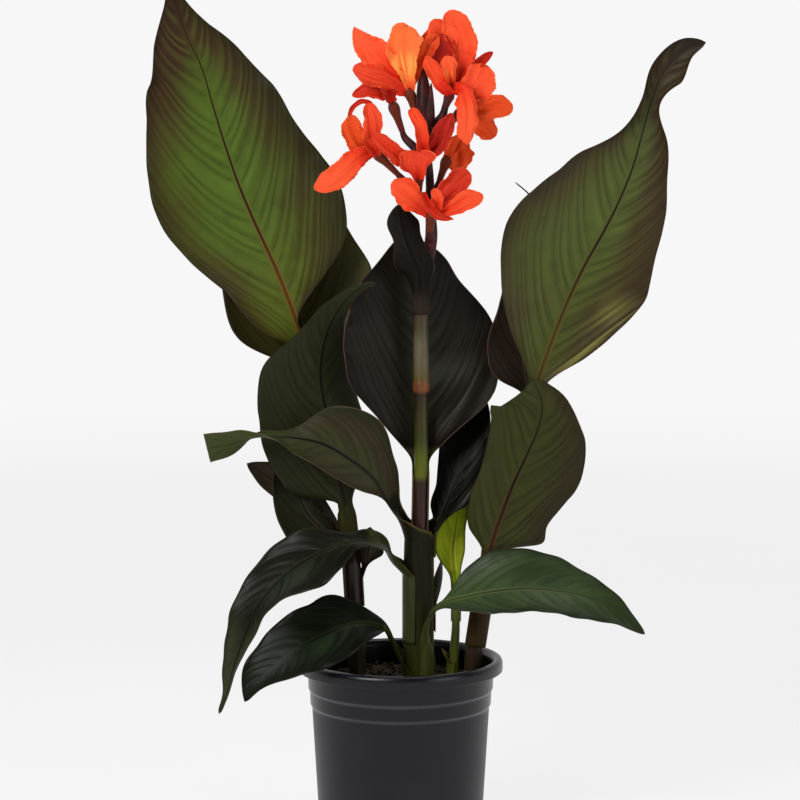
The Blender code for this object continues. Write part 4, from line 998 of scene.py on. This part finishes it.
# Blooms, in millimetres: where the ovary leaves the axis, where it meets the flower's tube,
# the throat, and the petals: painted shade (below 0 is orange, 1 the dark red of a petal in
# shade, above 1 the amber of a shaded petal with light coming through it), half angle of the
# trough (below 0 it bows outwards), then the midline from throat to tip, each x, y, z and
# half width
blooms = {
    "bloom_upper_left": {
        "stalk": (26, 0, 706), "join": (14, -1, 736), "throat": (8, -6, 757),
        "petals": [
            (0, 24, [(9, -6, 756, 3), (-8, -12, 772, 11), (-25, -17, 790, 17),
                (-38, -17, 806, 10), (-46, -14, 819, 2)]),
            (0.4, -44, [(8, -6, 753, 4), (-10, -16, 765, 11), (-30, -22, 773, 12),
                (-47, -21, 778, 8)]),
            (-0.6, 30, [(11, -6, 752, 3), (6, -14, 774, 9), (3, -18, 796, 17), (5, -14, 812, 16),
                (8, -10, 820, 12)]),
            (1.4, 30, [(12, -4, 764, 3), (20, -7, 786, 6), (29, -8, 802, 8), (37, -8, 811, 7)]),
        ],
    },
    "bloom_left_small": {
        "stalk": (27, 2, 684), "join": (2, 6, 716), "throat": (-8, 4, 744),
        "petals": [
            (0.6, 34, [(-6, 2, 750, 4), (-20, -6, 756, 8), (-34, -8, 757, 7.5),
                (-48, -6, 752, 3)]),
            (0.95, 40, [(-8, -4, 746, 5), (-13, -12, 759, 7), (-19, -14, 770, 4)]),
        ],
    },
    "bloom_top": {
        "stalk": (26, 1, 712), "join": (42, 6, 736), "throat": (49, 2, 754),
        "petals": [
            (1.4, 30, [(46, 5, 760, 4), (32, 8, 782, 9), (27, 8, 800, 11), (33, 6, 818, 8)]),
            (0.1, 30, [(46, 4, 776, 6), (44, 3, 800, 12), (38, 0, 817, 13), (31, -3, 826, 9)]),
            (0.05, 40, [(50, 2, 760, 5), (59, 5, 780, 11), (61, 3, 802, 15), (55, -1, 820, 16),
                (44, -3, 833, 11)]),
            (0.8, 36, [(48, 0, 758, 6), (41, -1, 780, 13), (40, -3, 798, 14), (43, -6, 812, 10)]),
            (-0.2, -34, [(49, -4, 762, 4), (47, -12, 774, 9), (46, -14, 784, 9),
                (45, -12, 791, 6)]),
            (0.25, 40, [(50, -6, 752, 4), (38, -14, 766, 8), (30, -16, 780, 8),
                (25, -14, 791, 3)]),
            (0.05, -36, [(50, -4, 758, 5), (60, -18, 756, 10), (65, -27, 738, 11),
                (64, -29, 718, 10), (66, -28, 704, 5)]),
        ],
    },
    "bloom_right": {
        "stalk": (28, 2, 690), "join": (46, 8, 722), "throat": (60, 6, 737),
        "petals": [
            (0.75, 80, [(60, 6, 745, 3), (70, 6, 776, 6), (80, 4, 787, 7), (91, 2, 795, 5)]),
            (0.1, 22, [(60, 4, 738, 4), (70, 2, 752, 14), (76, 0, 764, 17), (82, 2, 775, 14),
                (86, 4, 782, 7)]),
            (1.3, 26, [(62, 2, 737, 5), (80, -2, 739, 11), (96, -3, 741, 12), (111, -2, 741, 8)]),
            (1.5, 24, [(62, 6, 736, 5), (74, 9, 728, 12), (86, 11, 719, 11), (93, 12, 711, 7)]),
        ],
    },
    "bloom_left": {
        "stalk": (29, 0, 640), "join": (-3, -3, 675), "throat": (-25, -8, 697),
        "petals": [
            (0.6, 50, [(-29, -8, 736, 1.8), (-30, -9, 744, 2.4), (-40, -10, 746, 2.8),
                (-48, -10, 739, 2.6), (-51, -10, 726, 2)]),
            (0.3, 30, [(-25, -9, 700, 4), (-27, -14, 714, 9), (-28, -13, 730, 9.5),
                (-31, -11, 745, 6)]),
            (1.3, 40, [(-27, -6, 699, 5), (-41, -11, 704, 11), (-47, -13, 718, 12),
                (-50, -10, 733, 6)]),
            (0, -26, [(-25, -8, 699, 4), (-40, -18, 692, 10), (-56, -26, 679, 12.5),
                (-71, -30, 667, 11), (-85, -31, 661, 6)]),
            (0.55, 50, [(-22, -12, 692, 3), (-28, -17, 702, 7), (-35, -18, 709, 4)]),
        ],
    },
    "bloom_centre": {
        "stalk": (30, -1, 630), "join": (18, -12, 656), "throat": (18, -18, 675),
        "petals": [
            (0.5, 44, [(18, -20, 678, 8), (4, -26, 689, 10), (-13, -30, 702, 8.5),
                (-28, -29, 715, 6)]),
            (0.15, 95, [(23, -24, 692, 8), (21, -32, 710, 10), (17, -34, 727, 10),
                (10, -32, 739, 8)]),
            (0.8, 30, [(20, -20, 690, 6), (36, -24, 707, 11), (45, -22, 722, 9),
                (50, -20, 735, 4)]),
            (0.45, 40, [(17, -21, 669, 3), (16, -30, 679, 10), (15, -34, 690, 19),
                (15, -33, 698, 16)]),
        ],
    },
    "bloom_shaded": {
        "stalk": (30, 1, 632), "join": (38, 6, 667), "throat": (46, 6, 690),
        "petals": [
            (1.5, 24, [(58, 8, 712, 8), (57, 9, 696, 15), (56, 8, 683, 12), (55, 8, 676, 6)]),
            (1.5, 30, [(45, 6, 690, 4), (52, 4, 702, 7), (60, 4, 712, 5)]),
        ],
    },
    "bloom_lowest": {
        "stalk": (30, -2, 604), "join": (29, -13, 619), "throat": (30, -20, 636),
        "petals": [
            (0.25, -20, [(28, -20, 634, 4), (15, -28, 648, 12), (3, -31, 659, 13.5),
                (-8, -28, 668, 9)]),
            (0.55, 34, [(32, -18, 638, 4), (43, -17, 654, 11), (56, -16, 667, 13),
                (68, -14, 677, 8)]),
            (0.15, 26, [(33, -22, 636, 3), (51, -28, 643, 8), (67, -30, 650, 10),
                (81, -28, 654, 6)]),
            (0.1, 50, [(34, -24, 640, 3), (36, -32, 651, 7), (32, -33, 661, 4)]),
            (0.6, 60, [(23, -26, 658, 2), (28, -34, 643, 5), (38, -36, 634, 4.5),
                (52, -33, 631, 1.5)]),
        ],
    },
}
bloomWork = {
    "rowStep": 0.0009,
    "columns": 26,
    "petalThick": 0.0005,
    "rimThick": 0.00026,
    "ruffle": 0.0023,       # of the margin
    "crimp": 0.0009,        # finer waves on the margin
    "crease": 0.0012,       # depth of the fold along the middle
    "ragged": 0.09,         # share of its width by which the outline wanders
    "fringe": 0.045,        # and its finer teeth
    "notch": 0.16,          # of the tip, as a share of its half width
    "tubeFoot": 0.0026,
    "tubeMouth": 0.0050,
    "tubeSeat": 0.0012,     # depth to which the tube sits in the ovary
    "tubeEnd": 0.003,
    "tubeSides": 24,
    "tubeRibs": (0.05, 6),  # height as a share of the radius, and count
    "tipStart": 0.80,       # share of the length from which the tip rounds off
    "creaseHalf": 0.0016,
    "fullRuffle": 0.008,    # half width from which the margin ruffles in full
    "rimFade": 0.002,
    "cloudScale": 70.0,
    "veinScale": 3.4,
    "foldScale": 1.6,
    "crinkleScale": 230.0,
    "grainScale": 1400.0,
    "gloss": 0.16,
    "rough": 0.40,
    "relief": (0.0007, 0.8),
    "paints": {
        "light": (246, 86, 44),
        "body": (230, 52, 20),
        "deep": (200, 28, 9),
        "darkest": (120, 10, 4),
        "orange": (250, 118, 52),
        "glow": (255, 180, 84),
        "amber": (222, 78, 24),
        "rim": (255, 124, 70),
        "tube": (96, 36, 18),
    },
}


def petalMesh(trough, table, turn):
    work = bloomWork
    rows = metres(table)
    gaps = np.linalg.norm(np.diff(rows[:, :3], axis=0), axis=1)
    path, _ = through(rows, [max(4, round(gap / work["rowStep"])) for gap in gaps])
    spine = path[:, :3]
    run = runAlong(spine)
    t = (run / run[-1])[:, None]
    along = unit(np.gradient(spine, axis=0))
    normal = facing(spine, np.zeros(len(t)))
    place = np.linspace(-1, 1, work["columns"] + 1)
    hand, size = np.sign(place), np.abs(place)

    # A wave along the petal: its count, its phase, and how the two margins differ
    def wave(count, phase, apart=0.0):
        return np.sin(2 * math.pi * count * t + phase + apart * hand)

    wander = wave(1.7, turn, 1.7) + 0.6 * wave(4.3, 2.3 * turn, 1)
    fringe = wave(9.7, turn * 3, 1) * wave(5.9, turn)
    half = path[:, 3:] * (1 + work["ragged"] * wander + work["fringe"] * fringe)
    end = np.clip((t - work["tipStart"]) / (1 - work["tipStart"]), 0, 1)
    half = half * np.sqrt(np.clip(1 - end ** 2.6, 0.004, 1))
    sideways, lift = arc(half, math.radians(abs(trough)), place)
    scale = np.minimum(1, half / work["fullRuffle"])
    length = run[-1] / 0.05
    lift = math.copysign(1, trough) * lift
    lift = lift + work["ruffle"] * scale * size ** 3 * wave(2.2 * length, turn, 2.1)
    lift = lift + work["crimp"] * scale * size ** 5 * wave(6.5 * length, 2 * turn, 1.3)
    lift = lift - work["crease"] * np.exp(-(size * half / work["creaseHalf"]) ** 2) * (1 - 0.7 * t)
    buckle = np.sin(7.0 * place + 2.0 * turn + 3.0 * t) * np.sin(math.pi * t)
    lift = lift + work["crease"] * 0.9 * scale * buckle
    notch = work["notch"] * half * np.sin(9.0 * place + 1.7 * turn) * np.clip((t - 0.7) / 0.3, 0, 1)
    grid = strip(spine, np.cross(along, normal), normal, sideways, lift)
    grid = grid + along[:, None] * notch[:, :, None]
    rim = np.clip((1 - size) * half / work["rimFade"], 0, 1)
    thick = work["rimThick"] + (work["petalThick"] - work["rimThick"]) * rim
    return *sheet(grid, thick / 2, thick / 2), bothFaces(place, t)


# Thin satin petals: painted light along the rim, painted shade on shaded petals and in their
# folds, deep red in the throat, fine branching veins
def bloomFinish(name):
    work = bloomWork
    tones = {key: paint(tone) for key, tone in work["paints"].items()}
    finish = Finish(name, work["gloss"])
    across, share = finish.kept("place")
    turn, shade = finish.kept("mark")
    cloud = finish.noise(work["cloudScale"])
    fan = finish.join(across * 6.0 + turn * 3.1, share * 0.7, turn)
    veins = finish.noise(work["veinScale"], 4.0, fan)
    fold = finish.noise(work["foldScale"], 2.0, fan)
    outward = (share + (cloud - 0.5) * 0.7).step(0.10, 0.70)
    finish.colour = finish.mix(outward, tones["body"], tones["light"])
    finish.lay(shade.step(0.0, -1.0), tones["orange"])
    warm = shade.step(0.0, -0.5) * abs(share - 0.40).step(0.30, 0.0) * fold.step(0.35, 0.6)
    finish.lay(warm, tones["glow"])
    # Painted shade: petals that lie in shade are laid over with deep red, the darkest red in their
    # folds, and amber where light comes through them
    finish.lay(shade.step(-0.1, 0.9) * 0.95, tones["deep"])
    dark = (shade * 0.5 + fold * 0.7).step(0.45, 1.0) * shade.step(1.2, 1.0)
    finish.lay(dark * 0.8, tones["darkest"])
    finish.lay(shade.step(1.0, 1.3) * (0.6 + cloud * 0.5), tones["amber"])
    finish.lay(share.step(0.34, 0.0) * 0.6, tones["deep"])
    # Painted shade in the petal's folds
    finish.lay(fold.step(0.54, 0.74) * 0.40, tones["deep"])
    finish.lay(veins.step(0.50, 0.70) * 0.24, tones["deep"])
    finish.lay(abs(across).step(0.04, 0.0) * 0.35, tones["deep"])
    # Painted light along the thin rim
    finish.lay(abs(across).step(0.90, 1.0) * 0.35, tones["rim"])
    finish.lay(share.step(0.0, -0.02), tones["tube"])
    crinkle = veins * 0.7 + finish.noise(work["crinkleScale"], 4.0) * 1.6
    crinkle = crinkle + finish.noise(work["grainScale"], 2.0) * 0.2
    return finish.close(work["rough"] + cloud * 0.2, crinkle, *work["relief"])


def buildBlooms():
    work = bloomWork
    foot, mouth = work["tubeFoot"], work["tubeMouth"]
    for name, spec in blooms.items():
        join, throat = metres(spec["join"]), metres(spec["throat"])
        reach = unit(throat - join)
        start = join - reach * work["tubeSeat"]
        stops = [(*start, foot), (*((start + throat) / 2), foot * 1.4),
                 (*throat, mouth * 0.9), (*(throat + reach * work["tubeEnd"]), mouth * 0.5)]
        tube = rodMesh(through(stops, [6, 6, 3])[0], work["tubeSides"], *work["tubeRibs"])
        flower = Heap()
        flower.add(*tube, place=(0.0, -0.1), mark=0.0)
        for i, (shade, trough, table) in enumerate(spec["petals"]):
            turn = i * 1.9 + len(name) * 0.37
            points, faces, place = petalMesh(trough, table, turn)
            flower.add(points, faces, place=place, mark=(turn, shade))
        piece = name.replace("bloom_", "flower_")
        flower.make(piece, bloomFinish(piece), name)
    print("flowers built")


spikeWork = {
    "neck": 0.003,          # from an ovary's top down to its narrow neck
    "ovary": (0.0020, 0.0042, 0.0032, 0.0028),  # radii at foot, middle, neck and top
    "bud": ((0, 0.4), (0.25, 0.8), (0.5, 1.0), (0.8, 0.6), (1, 0.12)),  # height, radius share
    "leastRadius": 0.0004,
    "sides": 28,
    "ribs": (0.03, 5),
    "dark": (34, 14, 12),
    "red": (78, 22, 22),
    "dusty": (96, 48, 50),
    "cloudScale": 90.0,
    "streakScale": 300.0,
    "wartScale": 700.0,
    "gloss": 0.2,
    "rough": 0.36,
    "relief": (0.0004, 0.6),
}


# Burgundy skin with a waxy bloom and small warts on the ovaries
def spikeFinish():
    work = spikeWork
    finish = Finish("burgundy", work["gloss"])
    cloud = finish.noise(work["cloudScale"])
    streak = finish.noise(work["streakScale"], 3.0, None, (1.0, 1.0, 0.1))
    finish.colour = finish.mix(cloud.step(0.35, 0.7), paint(work["dark"]), paint(work["red"]))
    finish.lay(streak.step(0.5, 0.8) * 0.4, paint(work["dusty"]))
    warts = {"Vector": finish.where(), "Scale": work["wartScale"]}
    wart = finish.node("ShaderNodeTexVoronoi", None, warts)
    return finish.close(work["rough"] + cloud * 0.2, wart, *work["relief"])


def buildSpike():
    work = spikeWork
    rods = [through(spike, [6] * (len(spike) - 1))[0]]
    for spec in blooms.values():
        stalk, join, throat = (metres(spec[key]) for key in ("stalk", "join", "throat"))
        neck = join - unit(throat - join) * work["neck"]
        axis = (stalk, stalk + (join - stalk) * 0.55, neck, join)
        stops = [(*point, radius) for point, radius in zip(axis, work["ovary"])]
        rods.append(through(stops, [8, 8, 4])[0])
    for foot, tip, radius in buds:
        foot, tip, radius = metres(foot), metres(tip), radius / 1000
        stops = [(*(foot + (tip - foot) * t), radius * share) for t, share in work["bud"]]
        rods.append(through(stops, [6, 6, 6, 6])[0])
    heap = Heap()
    for path in rods:
        path[:, 3] = np.maximum(path[:, 3], work["leastRadius"])
        heap.add(*rodMesh(path, work["sides"], *work["ribs"]))
    heap.make("spike", spikeFinish(), "flower_spike")
    print("spike built")


# The nursery pot: a thin moulded shell with a rolled lip and two stepped bands
potWork = {
    "height": 0.190,
    "wall": 0.0020,
    "lipRadius": 0.1030,
    "beadRadius": 0.0980,
    "lipDepth": 0.0130,
    "skirt": 0.0018,
    "bandRadius": 0.0932,
    "bandLow": 0.157,
    "secondRadius": 0.0912,
    "secondLow": 0.141,
    "topRadius": 0.0896,
    "footRadius": 0.0812,
    "footRound": 0.0060,
    "sides": 160,
    "drains": 6,
    "drainRadius": 0.0060,
    "drainCircle": 0.0580,
    "drainCut": (-0.004, 0.010),    # from below the floor to above it
    "drainSides": 32,
    "sharpFrom": 50,        # degrees between faces
    "hub": 0.0008,          # radius of the small hole that closes the outline
    "flat": 0.030,
    "rise": 0.0016,         # height of each step, and the reach of a rounded corner
    "edges": (0.1414, 0.1574),   # heights of the steps, where a light line is laid: partly wear, partly a painted highlight
    "paint": (7, 8, 16),
    "scuff": (24, 23, 30),
    "smooth": (3, 4, 10),
    "smoothFrom": (0.136, 0.142),   # the upper part is smoother from these heights on
    "edgeFade": (0.0028, 0.0002),
    "cloudScale": 22.0,
    "streakScale": 60.0,
    "speckScale": 900.0,
    "gloss": 0.30,
    "rough": 0.36,
    "relief": (0.00018, 0.6),
    "wearAndHighlight": (62, 61, 68),
}


# Round an outline's corners by cutting each one twice
def soften(outline, reach):
    points = [np.array(p, dtype=float) for p in outline]
    result = [points[0]]
    for before, here, after in zip(points, points[1:], points[2:]):
        to, on = before - here, after - here
        a = min(reach, np.linalg.norm(to) * 0.4)
        b = min(reach, np.linalg.norm(on) * 0.4)
        first, last = here + unit(to) * a, here + unit(on) * b
        for t in (0.0, 0.25, 0.5, 0.75, 1.0):
            result.append(first * (1 - t) ** 2 + here * 2 * t * (1 - t) + last * t * t)
    result.append(points[-1])
    return result


def potFinish():
    work = potWork
    finish = Finish("moulded_plastic", work["gloss"])
    cloud = finish.noise(work["cloudScale"], 4.0)
    streak = finish.noise(work["streakScale"], 3.0, None, (1.0, 1.0, 0.12))
    speck = finish.noise(work["speckScale"])
    height = finish.parts(finish.where())[2]
    scuff = paint(work["scuff"])
    finish.colour = finish.mix(cloud.step(0.35, 0.8) * 0.5, paint(work["paint"]), scuff)
    finish.lay(streak.step(0.55, 0.85) * 0.25, scuff)
    upper = height.step(*work["smoothFrom"])
    finish.lay(upper * 0.55, paint(work["smooth"]))
    # Light lines at the step edges: partly wear on the plastic, partly a painted highlight
    for edge in work["edges"]:
        line = abs(height - edge).step(*work["edgeFade"]) * (0.4 + cloud * 0.6)
        finish.lay(line, paint(work["wearAndHighlight"]))
    rough = work["rough"] - upper * 0.14 + cloud * 0.12 + speck.step(0.5, 0.8) * 0.08
    return finish.close(rough, speck * 0.6 + streak, *work["relief"])


# Half of the pot's outline, from the axis under its floor round to the axis above it
def potOutline():
    work = potWork
    height, lip, rim = work["height"], work["lipRadius"], work["beadRadius"]
    bead = lip - rim
    lipLow = height - work["lipDepth"]
    foot, wall, top = work["footRadius"], work["wall"], work["topRadius"]
    band, bandLow = work["bandRadius"], work["bandLow"]
    second, secondLow = work["secondRadius"], work["secondLow"]
    inside = foot + (top - foot) / secondLow * wall - wall
    curve, rise, skirt = work["footRound"], work["rise"], lip - work["skirt"]
    outer = [
        (work["hub"], 0.0), (work["flat"], 0.0), (foot - curve, 0.0), (foot + 0.0003, curve * 0.6),
        (top, secondLow), (second, secondLow + rise), (second + 0.0006, bandLow),
        (band, bandLow + rise), (band + 0.0008, lipLow + 0.008), (skirt - 0.0006, lipLow + 0.007),
        (skirt, lipLow), (lip, lipLow), (lip, height - bead * 0.9),
        (rim + bead * 0.72, height - bead * 0.25), (rim, height),
        (rim - bead * 0.72, height - bead * 0.25),
        (band - wall + 0.0008, height - bead * 1.1), (band - wall, bandLow + 0.004),
        (top - wall, secondLow - 0.004), (inside - curve * 0.5, wall + 0.0012),
        (work["flat"], wall + 0.0006), (work["hub"], wall + 0.0006),
    ]
    return soften(outer, rise)


def buildPot():
    work = potWork
    outline = potOutline()
    sides = work["sides"]
    angles = np.arange(sides) * 2 * math.pi / sides
    points = [(r * math.cos(a), r * math.sin(a), z) for r, z in outline for a in angles]
    pot = makePiece("pot_shell", points, tubeFaces(len(outline), sides), potFinish(), "pot")
    group = bpy.data.collections.new("drains")
    bpy.context.scene.collection.children.link(group)
    for i in range(work["drains"]):
        angle = 2 * math.pi * (i + 0.5) / work["drains"]
        x, y = work["drainCircle"] * math.cos(angle), work["drainCircle"] * math.sin(angle)
        ends = [(x, y, z, work["drainRadius"]) for z in work["drainCut"]]
        drill = rodMesh(ends, work["drainSides"])
        group.objects.link(bpy.data.objects.new("drain", makeMesh("drain", *drill)))
    cut = pot.modifiers.new("drains", "BOOLEAN")
    cut.operation = "DIFFERENCE"
    cut.operand_type = "COLLECTION"
    cut.collection = group
    bpy.context.view_layer.update()
    seen = pot.evaluated_get(bpy.context.evaluated_depsgraph_get())
    mesh = bpy.data.meshes.new_from_object(seen)
    pot.modifiers.clear()
    pot.data = mesh
    mesh.shade_smooth()
    mesh.set_sharp_from_angle(angle=math.radians(work["sharpFrom"]))
    for helper in list(group.objects):
        bpy.data.objects.remove(helper, do_unlink=True)
    bpy.data.collections.remove(group)
    print("pot built")


# Potting soil: the imported solid gets its finish, and loose crumbs lie on it
soilWork = {
    "top": 0.166,
    "radius": 0.0900,
    "crumbs": 1500,
    "smallest": 0.0008,
    "largest": 0.0036,
    "seat": 0.15,           # how high a crumb's middle lies, as a share of its size
    "clear": {"centre": 0.0195, "left": 0.0125, "right": 0.0125, "small": 0.0125},
    "dark": (20, 15, 10),
    "brown": (56, 44, 24),
    "pale": (70, 56, 36),
    "cloudScale": 90.0,
    "bitScale": 420.0,
    "gloss": 0.15,
    "rough": 0.86,
    "relief": (0.0012, 0.9),
}


def soilFinish(name):
    work = soilWork
    finish = Finish(name, work["gloss"])
    cloud = finish.noise(work["cloudScale"], 5.0)
    bits = {"Vector": finish.where(), "Scale": work["bitScale"]}
    tone = finish.parts(finish.node("ShaderNodeTexVoronoi", None, bits, "Color"))[0]
    finish.colour = finish.mix(cloud.step(0.35, 0.7), paint(work["dark"]), paint(work["brown"]))
    finish.lay(tone.step(0.86, 0.97) * 0.7, paint(work["pale"]))
    return finish.close(work["rough"] + cloud * 0.12, cloud + tone * 0.5, *work["relief"])


def finishNode(node, material):
    for place in frame["nodes"][node].material_slots:
        place.material = material


def buildSoil():
    work = soilWork
    finishNode("soil", soilFinish("packed_soil"))
    rng = np.random.default_rng(11)
    lump = bmesh.new()
    bmesh.ops.create_icosphere(lump, subdivisions=1, radius=1.0)
    base = np.array([v.co for v in lump.verts])
    shape = [tuple(v.index for v in face.verts) for face in lump.faces]
    lump.free()
    corners = np.array([v.co for v in frame["nodes"]["soil"].data.vertices])
    top = corners[corners[:, 2] > work["top"] - 0.004]
    heap = Heap()
    for _ in range(work["crumbs"]):
        angle = rng.uniform(0, 2 * math.pi)
        far = work["radius"] * math.sqrt(rng.uniform(0.02, 1.0))
        x, y = far * math.cos(angle), far * math.sin(angle)
        size = work["smallest"] + (work["largest"] - work["smallest"]) * rng.uniform() ** 2.5
        near = np.argsort((top[:, 0] - x) ** 2 + (top[:, 1] - y) ** 2)[:3]
        turn = np.linalg.qr(rng.normal(size=(3, 3)))[0]
        squash = rng.uniform((0.7, 0.5, 0.35), (1.3, 1.0, 0.8))
        points = (base * rng.uniform(0.75, 1.2, (len(base), 1)) * squash * size) @ turn
        gaps = [math.dist((x, y), shootAxis(shoot, work["top"])[:2]) - room - size
                for shoot, room in work["clear"].items()]
        if min(gaps) > 0 and far <= work["radius"] - size:
            heap.add(points + (x, y, top[near, 2].mean() + size * work["seat"]), shape)
    piece = link("soil_crumbs", makeMesh("soil_crumbs", *heap.joined(), soilFinish("loose_soil")))
    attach(piece, "root")
    print("soil built")


rhizomeWork = {
    "pale": (132, 104, 74),
    "brown": (94, 66, 44),
    "scar": (58, 38, 26),
    "ringTurn": 620.0,      # radians of a ring's wave in a metre
    "gloss": 0.3,
    "rough": 0.66,
    "relief": (0.0008, 0.8),
}


# The rhizome: pale brown, ringed by old leaf scars
def finishRhizome():
    work = rhizomeWork
    finish = Finish("rhizome_skin", work["gloss"])
    x = finish.parts(finish.where())[0]
    ring = (x * work["ringTurn"] + finish.noise(70.0) * 3.0).sine()
    cloud = finish.noise(140.0, 4.0)
    finish.colour = finish.mix(cloud.step(0.3, 0.7), paint(work["pale"]), paint(work["brown"]))
    finish.lay(ring.step(0.6, 0.95) * 0.7, paint(work["scar"]))
    skin = finish.close(work["rough"] + cloud * 0.2, ring * 0.6 + cloud, *work["relief"])
    finishNode("rhizome", skin)
    print("rhizome finished")


buildShoots()
buildLeaves()
buildBlooms()
buildSpike()
buildPot()
buildSoil()
finishRhizome()
